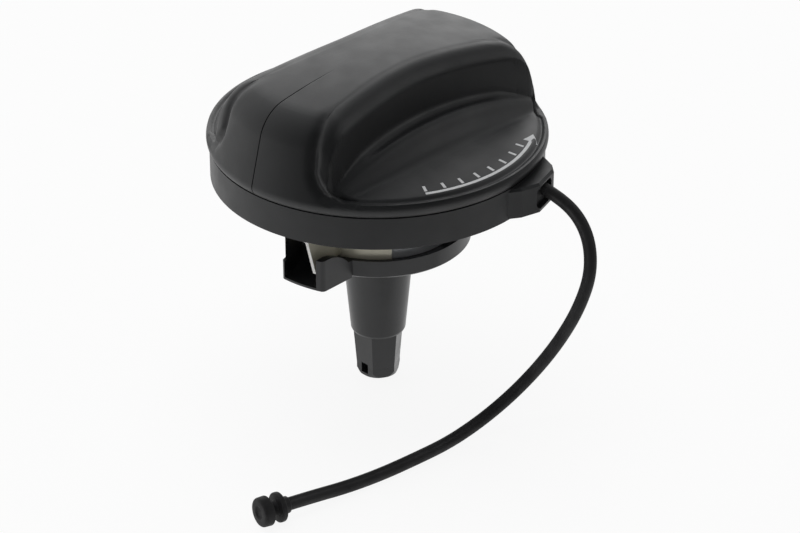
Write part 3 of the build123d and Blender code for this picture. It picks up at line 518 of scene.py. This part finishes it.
coverGrid = {
    "columns": 720,
    "limits": [33.0, 34.0, 35.2, 36.2, 37.0, 37.5, 38.2],   # largest radius of each mark but the last three
    "counts": [26, 9, 9, 12, 4, 5, 7, 12, 12, 12],          # rows up to each mark
    "firstRadius": 20.0,        # from which a mark's radius is searched
    "turns": 30,                # of the search, each going half of the way
    "reach": 36.0,              # how far along the bar its section is worked out
    "beforeRib": 0.3,
    "afterRib": 0.5,
    "dishMark": 22.0,           # across the bar
    "leastGap": 0.02,           # between one mark and the next
    "beforeGroove": 0.4,
    "afterGroove": 0.1,
}


# the round between the drum's side and its crown: its centre is where the side's line and the crown's arc
# meet once both are moved inwards by its radius. Gives the centre, the two tangent points and the side's foot
# on the bulge, each as (radius, height)
def cornerRound():
    lean = math.radians(grip["sideLean"])
    outward = np.array([math.cos(lean), math.sin(lean)])
    upward = np.array([-math.sin(lean), math.cos(lean)])
    bulge = np.array([grip["rimRadius"] - grip["bulgeArc"], grip["bulgeLevel"]])
    crown = np.array([0, grip["crownTop"] - grip["crownArc"]])
    offset = bulge + outward * (grip["bulgeArc"] - grip["cornerArc"]) - crown
    reach = grip["crownArc"] - grip["cornerArc"]
    along = offset @ upward
    run = math.sqrt(along ** 2 - offset @ offset + reach ** 2) - along
    centre = crown + offset + upward * run
    sideTop = centre + outward * grip["cornerArc"]
    crownEnd = centre + (centre - crown) / np.linalg.norm(centre - crown) * grip["cornerArc"]
    return centre, sideTop, crownEnd, bulge + outward * grip["bulgeArc"]


cornerCentre, sideTop, crownEnd, sideFoot = cornerRound()


# height of the drum at a radius: crown arc, corner arc, leaning side, bulge arc
def drumHeight(radius):
    crown = grip["crownTop"] - grip["crownArc"] + np.sqrt(grip["crownArc"] ** 2 - radius ** 2)
    overCorner = np.clip(grip["cornerArc"] ** 2 - (radius - cornerCentre[0]) ** 2, 0, None)
    corner = cornerCentre[1] + np.sqrt(overCorner)
    side = sideFoot[1] + (sideFoot[0] - radius) / math.tan(math.radians(grip["sideLean"]))
    overBulge = np.clip(grip["bulgeArc"] ** 2 - (radius - grip["rimRadius"] + grip["bulgeArc"]) ** 2, 0, None)
    bulge = grip["bulgeLevel"] + np.sqrt(overBulge)
    inside = [radius <= crownEnd[0], radius <= sideTop[0], radius <= sideFoot[0]]
    return np.select(inside, [crown, corner, side], bulge)


# lines and rounds of the hollow's section at a distance along the bar: the crest's round, the flank, the
# leaning wall below its crease, the cove's round and the floor that rises to the rib
def hollowSection(along):
    corner = grip["crestWidth"] + grip["crestSpread"] * (along / grip["crestSpreadAt"]) ** grip["crestPower"]
    level = drumHeight(np.hypot(along, corner))
    step = grip["slopeStep"]
    crownSlope = (drumHeight(np.hypot(along, corner + step)) - level) / step
    crownSlope = np.clip(crownSlope, grip["crestSlope"], 0)
    flankSlope = np.full_like(along, -math.tan(math.radians(grip["flank"])))
    crease = corner + grip["creaseOut"]
    creaseLevel = level + flankSlope * grip["creaseOut"]
    wallSlope = np.full_like(along, -1 / math.tan(math.radians(grip["wallLean"])))
    crest = roundBetween(corner, level, crownSlope, flankSlope, grip["crestArc"], 1)
    rib = grip["ribLevel"] - grip["ribFall"] * (along / grip["ribFallAt"]) ** grip["ribPower"]
    floorSlope = np.full_like(along, math.tan(math.radians(grip["floorRise"])))
    foot = (rib - floorSlope * grip["ribPlace"] - creaseLevel + wallSlope * crease) / (wallSlope - floorSlope)
    footLevel = rib - floorSlope * (grip["ribPlace"] - foot)
    coveArc = np.clip(grip["coveShare"] * (grip["ribPlace"] - foot), grip["coveLeast"], grip["coveArc"])
    cove = roundBetween(foot, footLevel, wallSlope, floorSlope, coveArc, -1)
    lines = (corner, level, flankSlope, crease, creaseLevel, wallSlope)
    return lines, crest, rib, floorSlope, cove, coveArc


# height of the cover at x, y: the lower of drum and finger hollow, with the dish, groove and land outside it
def coverHeight(x, y):
    along, across = np.abs(x), np.abs(y)
    radius = np.hypot(x, y)
    drum = drumHeight(radius)
    lines, crest, rib, floorSlope, cove, coveArc = hollowSection(along)
    corner, level, flankSlope, crease, creaseLevel, wallSlope = lines
    crestCentre, crestStart, crestEnd = crest
    coveCentre, coveStart, coveEnd = cove
    overCrest = np.clip(grip["crestArc"] ** 2 - (across - crestCentre[0]) ** 2, 0, None)
    crestPart = crestCentre[1] + np.sqrt(overCrest)
    flank = level + flankSlope * (across - corner)
    wall = smoothLower(flank, creaseLevel + wallSlope * (across - crease), grip["creaseRound"])
    underCove = np.clip(coveArc ** 2 - (across - coveCentre[0]) ** 2, 0, None)
    covePart = coveCentre[1] - np.sqrt(underCove)
    floor = rib - floorSlope * (grip["ribPlace"] - across)
    dish = grip["landLevel"] + grip["dishRise"] + grip["dishSlope"] * (grip["grooveFrom"] - radius)
    front = rib - math.tan(math.radians(grip["ribFront"])) * (across - grip["ribPlace"])
    front = smoothUpper(front, dish, grip["dishRound"])
    ribPart = smoothLower(np.where(across < coveEnd, covePart, floor), front, grip["ribRound"])
    over = drum + grip["overRise"] * (crestStart - across)
    inside = [across < crestStart, across < crestEnd, across < coveStart]
    hollow = np.select(inside, [over, crestPart, wall], ribPart)
    end = grip["hollowEnd"] + grip["cornerTurn"] * np.clip(across - grip["cornerFrom"], 0, None)
    endWall = rib - grip["endFoot"] + (along - end) / math.tan(math.radians(grip["endLean"]))
    hollow = smoothUpper(hollow, endWall, grip["endRound"])
    middle = (grip["grooveFrom"] + grip["grooveTo"]) / 2
    half = (grip["grooveTo"] - grip["grooveFrom"]) / 2
    groove = grip["grooveDepth"] * np.exp(-((radius - middle) / (grip["grooveShare"] * half)) ** 2)
    outside = np.where(radius > middle, np.maximum(hollow, grip["landLevel"]), hollow) - groove
    nearEnd = np.clip((along - grip["edgeMoreFrom"]) / grip["edgeMoreOver"], 0, 1)
    nearBar = np.clip((grip["edgeMoreInside"] - across) / grip["edgeMoreFade"], 0, 1)
    return smoothLower(drum, outside, grip["edgeRound"] + grip["edgeRoundMore"] * nearEnd * nearBar)


# radii of the rows on each ray: even shares between marks, which are the crest's start, the crease, both ends
# of the cove, both sides of the rib, the dish, both sides of the groove and the side's foot
def coverRows(angle):
    sine = np.maximum(np.abs(np.sin(angle)), 1e-3)      # never 0, so that no mark is infinitely far
    cosine = np.abs(np.cos(angle))
    even = np.ones_like(angle)
    ribSides = grip["ribPlace"] - coverGrid["beforeRib"], grip["ribPlace"] + coverGrid["afterRib"]
    fixed = [place * even for place in (*ribSides, coverGrid["dishMark"])]
    marks = [0 * even]
    for number, limit in enumerate(coverGrid["limits"]):
        radius = coverGrid["firstRadius"] * even
        for turn in range(coverGrid["turns"]):
            along = np.minimum(radius * cosine, coverGrid["reach"])
            lines, crest, rib, floorSlope, cove, coveArc = hollowSection(along)
            across = [crest[1], lines[3], cove[1], cove[2], *fixed][number]
            radius = 0.5 * radius + 0.5 * np.minimum(across / sine, limit)
        marks.append(np.maximum(radius, marks[-1] + coverGrid["leastGap"]))
    grooveSides = grip["grooveFrom"] - coverGrid["beforeGroove"], grip["grooveTo"] + coverGrid["afterGroove"]
    marks += [place * even for place in (*grooveSides, sideFoot[0])]
    rows = []
    for start, end, count in zip(marks, marks[1:], coverGrid["counts"]):
        share = np.arange(1, count + 1)[:, None] / count
        rows.append(start + (end - start) * share)
    return np.vstack(rows)


# distance of each point from the channel's path, the same in all four quarters
def channelDistance(points):
    folded = np.abs(points)
    nearest = np.full(points.shape[:-1], np.inf)
    for start, end in zip(channelPath, channelPath[1:]):
        run = end - start
        share = np.clip(((folded - start) @ run) / (run @ run), 0, 1)
        nearest = np.minimum(nearest, np.linalg.norm(folded - start - share[..., None] * run, axis=-1))
    return nearest


# the cover: its top by coverHeight over rays and rows, dented along the channel by depth times
# exp(-(distance / width) squared), then the outline of bulge, lip, spigot and ceiling turned about the axis
def makeGripShell():
    angle = np.linspace(0, 2 * np.pi, coverGrid["columns"], endpoint=False)
    radius = coverRows(angle)
    x, y = radius * np.cos(angle), radius * np.sin(angle)
    top = np.stack([x, y, coverHeight(x, y)], axis=-1)
    dent = grip["channelDepth"] * np.exp(-(channelDistance(top) / grip["channelWidth"]) ** 2)
    top[..., 0] -= dent * np.cos(angle)
    top[..., 1] -= dent * np.sin(angle)
    arc = grip["bulgeArc"]
    bulge = grip["rimRadius"] - arc
    drop = math.asin((grip["bulgeLevel"] - grip["partingLevel"]) / arc)
    turn = np.linspace(math.radians(grip["sideLean"]), -drop, grip["bulgeSteps"])[1:]
    inner, outer, foot = grip["spigot"]
    parting = grip["partingLevel"]
    ceiling = grip["ceiling"]
    edge = bulge + arc * math.cos(drop)
    below = [(bulge + arc * math.cos(t), grip["bulgeLevel"] + arc * math.sin(t)) for t in turn]
    below += [(edge - inward, parting - down) for inward, down in (grip["lipDrop"], grip["lipFlat"])]
    bevel = grip["landBevel"]
    below += [(outer + bevel, parting), (outer, parting - bevel)]
    bevel = grip["spigotBevel"]
    below += [(outer, foot + bevel), (outer - bevel, foot), (inner + bevel, foot), (inner, foot + bevel)]
    bevel = grip["ceilingBevel"]
    below += [(inner, ceiling - bevel), (inner - bevel, ceiling), (inner / 2, ceiling)]
    reach, height = np.array(below).T[..., None]
    skirt = np.stack([reach * np.cos(angle), reach * np.sin(angle), height + 0 * angle], axis=-1)
    poles = [(0, 0, grip["crownTop"]), (0, 0, ceiling)]
    made = gridPiece("gripShell", np.concatenate([top, skirt]), poles, "gripPolypropylene")
    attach(made, "grip")
    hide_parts("grip_cover")


makeGripShell()
print("grip shell")

mark = {                        # mm and degrees
    "radius": 37.4,             # of the arc in the middle of the print
    "from": -118.0,
    "to": -55.0,
    "lineOut": 1.0,             # of the curved line, from that arc
    "band": 0.75,               # thickness of the curved line
    "headLength": 5.5,
    "headWidth": 3.6,
    "headSteps": 8,
    "tip": 0.04,                # width of the head's tip against its back
    "ticks": 8,
    "tickOut": 0.2,             # of the ticks' outer ends, from the arc
    "tickLength": 2.0,
    "tickWidth": 1.1,           # degrees
    "tickEnd": 4.5,             # between the last tick and the head
    "lift": 0.03,
    "columnsPerDegree": 2,
}


# a curved line, the ticks inside it and its arrowhead, each a patch between two angles and two radii that
# follows the dish; the head's radii close in on the line along it
def makeMark():
    stop = mark["to"] - mark["headLength"]
    line = mark["radius"] + mark["lineOut"]
    patches = [(mark["from"], stop, line - mark["band"] / 2, line + mark["band"] / 2)]
    high = mark["radius"] + mark["tickOut"]
    step = (stop - mark["tickEnd"] - mark["from"] - mark["tickWidth"]) / (mark["ticks"] - 1)
    for number in range(mark["ticks"]):
        start = mark["from"] + number * step
        patches.append((start, start + mark["tickWidth"], high - mark["tickLength"], high))
    points, faces = [], []
    for start, end, low, high in patches:
        angle = np.radians(np.linspace(start, end, max(2, int((end - start) * mark["columnsPerDegree"]))))
        radius = np.array([low, (low + high) / 2, high])
        addPatch(points, faces, angle[:, None] + 0 * radius, radius + 0 * angle[:, None])
    angle = np.radians(np.linspace(stop, mark["to"], mark["headSteps"]))
    width = mark["headWidth"] / 2 * np.linspace(1, mark["tip"], mark["headSteps"])
    radius = line + np.stack([-width, 0 * width, width], axis=-1)
    addPatch(points, faces, angle[:, None] + 0 * radius, radius)
    made = meshPiece("turnMark", np.vstack(points), faces, "paleInk")
    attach(made, "grip")


# a thin closed patch: its top lies over the cover by lift and its underside is sunk as far
def addPatch(points, faces, angle, radius):
    x, y = radius * np.cos(angle), radius * np.sin(angle)
    z = coverHeight(x, y)
    base = sum(len(p) for p in points)
    rows, columns = x.shape
    for side in (1, -1):
        points.append(np.stack([x, y, z + side * mark["lift"]], axis=-1).reshape(-1, 3))
    index = base + np.arange(rows * columns).reshape(rows, columns)
    under = index + rows * columns
    quads = np.stack([index[:-1, :-1], index[:-1, 1:], index[1:, 1:], index[1:, :-1]], axis=-1).reshape(-1, 4)
    faces += quads.tolist()
    faces += (quads[:, ::-1] + rows * columns).tolist()
    rim, low = [np.concatenate([p[:, 0], p[-1, 1:], p[::-1, -1][1:], p[0, ::-1][1:]]) for p in (index, under)]
    faces += np.stack([rim[:-1], rim[1:], low[1:], low[:-1]], axis=-1).tolist()


makeMark()
print("print on the dish")

strap = {                       # mm and radians
    "diameter": 3.2,
    "length": 133.7,
    "columns": 40,
    "sharp": 60,                # degrees, above which an edge stays sharp
    "groove": 0.42,             # depth of the groove along it
    "grooveWidth": 0.5,
    "grooveAt": 1.75,           # from the side away from the cap
    "startSide": (0.3, -0.95, 0.1),     # direction away from the cap where the strap begins
    "order": 3,                 # of the spline
    "stepsPerPoint": 16,
    "points": [
        (14.7, -42.7, 3.2), (15.8, -45.9, 1.8), (16.9, -50.1, -1.0), (17.0, -53.6, -4.8),
        (16.3, -56.0, -9.6), (14.9, -57.1, -15.5), (13.4, -55.8, -22.7), (12.5, -52.9, -30.1),
        (11.1, -49.2, -37.7), (8.1, -45.4, -45.0), (2.7, -42.0, -51.4), (-4.9, -39.5, -55.9),
        (-14.1, -38.1, -58.1), (-24.5, -37.3, -58.1), (-35.2, -36.1, -58.1), (-45.5, -34.4, -57.7),
        (-54.8, -32.9, -56.5), (-61.8, -31.3, -56.15),
    ],
}


# points of the NURBS spline whose control points are the route, read from its mesh
def splinePoints(name, route):
    curve = bpy.data.curves.new(name, "CURVE")
    curve.dimensions = "3D"
    curve.resolution_u = strap["stepsPerPoint"]
    spline = curve.splines.new("NURBS")
    spline.points.add(len(route) - 1)
    spline.points.foreach_set("co", np.hstack([np.array(route) * mm, np.ones((len(route), 1))]).ravel())
    spline.order_u = strap["order"]
    spline.use_endpoint_u = True
    holder = bpy.data.objects.new(name, curve)
    bpy.context.scene.collection.objects.link(holder)
    line = bpy.data.meshes.new_from_object(holder)
    points = np.empty(len(line.vertices) * 3)
    line.vertices.foreach_get("co", points)
    bpy.data.objects.remove(holder)
    bpy.data.meshes.remove(line)
    return points.reshape(-1, 3) / mm


# frames carried along a path without twist: each side direction is the last one less its part along the run
def carriedFrames(path, side):
    runs = np.gradient(path, axis=0)
    runs /= np.linalg.norm(runs, axis=1)[:, None]
    sides = []
    for run in runs:
        side = side - run * (side @ run)
        side = side / np.linalg.norm(side)
        sides.append(side)
    sides = np.array(sides)
    return sides, np.cross(runs, sides)


# a tube round the path: its radius is even but for one groove of depth times exp(-(angle / width) squared)
# that runs along it, and its ends are flat
def makeStrap():
    path = splinePoints("strapLine", strap["points"])
    sides, ups = carriedFrames(path, np.array(strap["startSide"]))
    around = np.linspace(0, 2 * np.pi, strap["columns"], endpoint=False)
    dip = (around - strap["grooveAt"] + np.pi) % (2 * np.pi) - np.pi
    radius = strap["diameter"] / 2 - strap["groove"] * np.exp(-(dip / strap["grooveWidth"]) ** 2)
    aside, upward = (radius * np.cos(around))[:, None], (radius * np.sin(around))[:, None]
    grid = path[:, None] + sides[:, None] * aside + ups[:, None] * upward
    made = gridPiece("tetherStrap", grid[::-1], [path[-1], path[0]], "strapElastomer", strap["sharp"])
    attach(made, "tether")
    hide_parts("tether_strap")
    return made, path


knob = {
    "collar": 2.1,              # radii
    "disc": 3.7,
    "neck": 1.8,
    "innerDisc": (1.9, 3.3),    # from and to, along the axis
    "outerDisc": (5.3, 8.0),
    "dimple": (1.7, 0.45),      # radius and depth
    "dimpleFloor": 0.75,        # of the dimple's radius
    "draft": 0.1,               # what the outer disc loses towards its end
    "collarRound": 0.4,
    "neckRound": 0.3,
    "innerRound": 0.45,
    "outerRound": 0.5,
    "noseRound": 0.8,
    "dimpleRound": 0.25,
    "roundSteps": 6,
    "roundShare": 0.48,         # of a side that one round takes at most
    "columns": 72,
}


# rounds each inner corner of an outline of (place, radius, round) by a quadratic curve between its two sides
def softOutline(corners):
    corners = np.array(corners, dtype=float)
    points = [corners[0, :2]]
    share = np.linspace(0, 1, knob["roundSteps"])[:, None]
    for before, corner, after in zip(corners, corners[1:], corners[2:]):
        middle = corner[:2]
        ends = []
        for other in (before, after):
            side = other[:2] - middle
            length = np.linalg.norm(side)
            ends.append(middle + side / length * min(corner[2], length * knob["roundShare"]))
        start, stop = ends
        points += list((1 - share) ** 2 * start + 2 * share * (1 - share) * middle + share ** 2 * stop)
    points.append(corners[-1, :2])
    return np.array(points)


# an outline of (place along the axis, radius) turned about the axis from the foot point
def turnedPiece(name, foot, axis, outline, finish, columns):
    side = np.cross(axis, [0, 0, 1])
    side /= np.linalg.norm(side)
    around = np.linspace(0, 2 * np.pi, columns, endpoint=False)
    ring = side * np.cos(around)[:, None] + np.cross(axis, side) * np.sin(around)[:, None]
    inner = outline[1:-1]
    grid = foot + inner[:, None, :1] * axis + inner[:, None, 1:] * ring
    poles = [foot + outline[-1, 0] * axis, foot + outline[0, 0] * axis]
    return gridPiece(name, grid[::-1], poles, finish)


# collar, inner disc, neck and outer disc with its dimple, turned about the strap's last run
def makeKnob():
    foot = np.array(strap["points"][-1])
    axis = foot - np.array(strap["points"][-2])
    axis /= np.linalg.norm(axis)
    innerLow, innerHigh = knob["innerDisc"]
    outerLow, outerHigh = knob["outerDisc"]
    hollow, depth = knob["dimple"]
    collar, disc, neck = knob["collar"], knob["disc"], knob["neck"]
    outline = softOutline([
        (0, 0, 0),
        (0, collar, knob["collarRound"]),
        (innerLow, collar, knob["neckRound"]),
        (innerLow, disc, knob["innerRound"]),
        (innerHigh, disc, knob["innerRound"]),
        (innerHigh, neck, knob["neckRound"]),
        (outerLow, neck, knob["neckRound"]),
        (outerLow, disc, knob["outerRound"]),
        (outerHigh, disc - knob["draft"], knob["noseRound"]),
        (outerHigh, hollow, knob["dimpleRound"]),
        (outerHigh - depth, hollow * knob["dimpleFloor"], knob["dimpleRound"]),
        (outerHigh - depth, 0, 0),
    ])
    made = turnedPiece("tetherKnob", foot, axis, outline, "strapElastomer", knob["columns"])
    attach(made, "tether")
    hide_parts("tether_knob")
    return made


strapPiece, strapLine = makeStrap()
knobPiece = makeKnob()
print("strap and knob")

studio = {                      # m
    "floorSize": 8.0,
    "floorFront": 0.2,          # how far the paper reaches in front of the cap
    "floorColour": "#f2f2f2",
    "floorShade": "#eeeeee",
    "floorClouds": 0.4,
    "floorShow": 0.9,           # share of plain white in what the camera sees of the floor
    "floorFade": (0.14, 0.26),  # where the paper's reflection fades to the right
    "floorFar": 0.12,           # what is left of it there
    "back": (0.713, 0.701, 0),  # level direction away from the camera
    "leftShare": 0.8,           # of the paper's brightness that goes round to the left
    "room": (0.0, 0.5),         # towards the back, as cosines, where the room gets lighter
    "roomLight": (0.06, 0.5),
    "paper": (0.6, 0.9),        # and where the hanging paper begins and is full
    "paperLight": 0.5,
    "lamps": [                  # name, place, size, watts, seen in glossy surfaces
        ("topSoftbox", (0.1, 0.25, 1.3), 1.1, 8.0, False),
        ("backSoftbox", (1.15, 1.13, 0.65), 1.2, 4.5, True),
        ("leftSoftbox", (-1.2, -0.7, 0.7), 0.9, 3.6, False),
        ("rightSoftbox", (1.0, -1.05, 0.75), 0.9, 2.2, True),
    ],
}


# white floor paper: camera, glossy and transmission rays see it near white, and what is mirrored of it in the
# cap fades to the right
def floorPaper(side):
    made = newMaterial("floor paper")
    tree = made.node_tree
    point = add(tree, "ShaderNodeTexCoord", out="Object")
    clouds = add(tree, "ShaderNodeTexNoise", Vector=point, Scale=1 / studio["floorClouds"])
    tone = add(tree, "ShaderNodeMix", {"data_type": "RGBA"}, 2, i0=clouds, i6=linear(studio["floorColour"]),
               i7=linear(studio["floorShade"]))
    plain = add(tree, "ShaderNodeBsdfDiffuse", Color=tone)
    right = add(tree, "ShaderNodeVectorMath", {"operation": "DOT_PRODUCT"}, "Value", i0=point, i1=side)
    start, stop = studio["floorFade"]
    far = add(tree, "ShaderNodeMapRange", i0=right, i1=start, i2=stop, i3=1.0, i4=studio["floorFar"])
    glossy = add(tree, "ShaderNodeLightPath", out="Is Glossy Ray")
    strength = add(tree, "ShaderNodeMix", i0=glossy, i2=1.0, i3=far)
    white = add(tree, "ShaderNodeEmission", Color=(1, 1, 1, 1), Strength=strength)
    seen = add(tree, "ShaderNodeLightPath", out="Is Camera Ray")
    through = add(tree, "ShaderNodeLightPath", out="Is Transmission Ray")
    for ray in (glossy, through):
        seen = add(tree, "ShaderNodeMath", {"operation": "MAXIMUM"}, i0=seen, i1=ray)
    share = add(tree, "ShaderNodeMath", {"operation": "MULTIPLY"}, i0=seen, i1=studio["floorShow"])
    both = add(tree, "ShaderNodeMixShader", i0=share, i1=plain, i2=white)
    add(tree, "ShaderNodeOutputMaterial", Surface=both)
    return made


def makeFloor():
    half = studio["floorSize"] / 2
    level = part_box("probe_tip")[0][2]
    mesh = bpy.data.meshes.new("floor")
    back = Vector(studio["back"]).normalized()
    right = Vector((back.y, -back.x, 0))
    side = right * half
    front, far = back * -studio["floorFront"], back * half
    corners = [front - side, front + side, far + side, far - side]
    mesh.from_pydata([(corner.x, corner.y, level) for corner in corners], [], [(0, 1, 2, 3)])
    floor = bpy.data.objects.new("floor", mesh)
    bpy.context.scene.collection.objects.link(floor)
    mesh.materials.append(floorPaper(tuple(right)))


# the paper behind and beside the cap and the dimmer room in front of it, by the dot products of the ray's
# direction with the level directions to the back and to the right; camera and transmission rays see white
def roomLevel(tree):
    direction = add(tree, "ShaderNodeTexCoord", out="Generated")
    back, side = studio["back"], (studio["back"][1], -studio["back"][0], 0)
    dot = {"operation": "DOT_PRODUCT"}
    away = add(tree, "ShaderNodeVectorMath", dot, "Value", i0=direction, i1=back)
    beside = add(tree, "ShaderNodeVectorMath", dot, "Value", i0=direction, i1=side)
    left = add(tree, "ShaderNodeMath", {"operation": "MULTIPLY"}, i0=beside, i1=-studio["leftShare"])
    left = add(tree, "ShaderNodeMath", {"operation": "MAXIMUM"}, i0=left, i1=0.0)
    away = add(tree, "ShaderNodeMath", {"operation": "ADD"}, i0=away, i1=left)
    start, stop = studio["room"]
    dim, light = studio["roomLight"]
    room = add(tree, "ShaderNodeMapRange", i0=away, i1=start, i2=stop, i3=dim, i4=light)
    start, stop = studio["paper"]
    paper = add(tree, "ShaderNodeMapRange", i0=away, i1=start, i2=stop, i4=studio["paperLight"])
    both = add(tree, "ShaderNodeMath", {"operation": "ADD"}, i0=room, i1=paper)
    seen = add(tree, "ShaderNodeLightPath", out="Is Camera Ray")
    through = add(tree, "ShaderNodeLightPath", out="Is Transmission Ray")
    seen = add(tree, "ShaderNodeMath", {"operation": "MAXIMUM"}, i0=seen, i1=through)
    return add(tree, "ShaderNodeMix", i0=seen, i2=both, i3=1.0)


def makeRoom():
    world = bpy.data.worlds.new("studio")
    world.use_nodes = True
    tree = world.node_tree
    tree.nodes.clear()
    light = add(tree, "ShaderNodeBackground", Color=(1, 1, 1, 1), Strength=roomLevel(tree))
    add(tree, "ShaderNodeOutputWorld", Surface=light)
    bpy.context.scene.world = world


# square lamps that face the cap
def makeLamps():
    for name, place, size, watts, seen in studio["lamps"]:
        data = bpy.data.lights.new(name, "AREA")
        data.size = size
        data.energy = watts
        lamp = bpy.data.objects.new(name, data)
        lamp.location = place
        lamp.visible_glossy = seen
        lamp.rotation_mode = "QUATERNION"
        lamp.rotation_quaternion = (-Vector(place)).to_track_quat("-Z", "Y")
        bpy.context.scene.collection.objects.link(lamp)


makeFloor()
makeRoom()
makeLamps()
bpy.context.scene.view_settings.view_transform = "Standard"
print("studio")
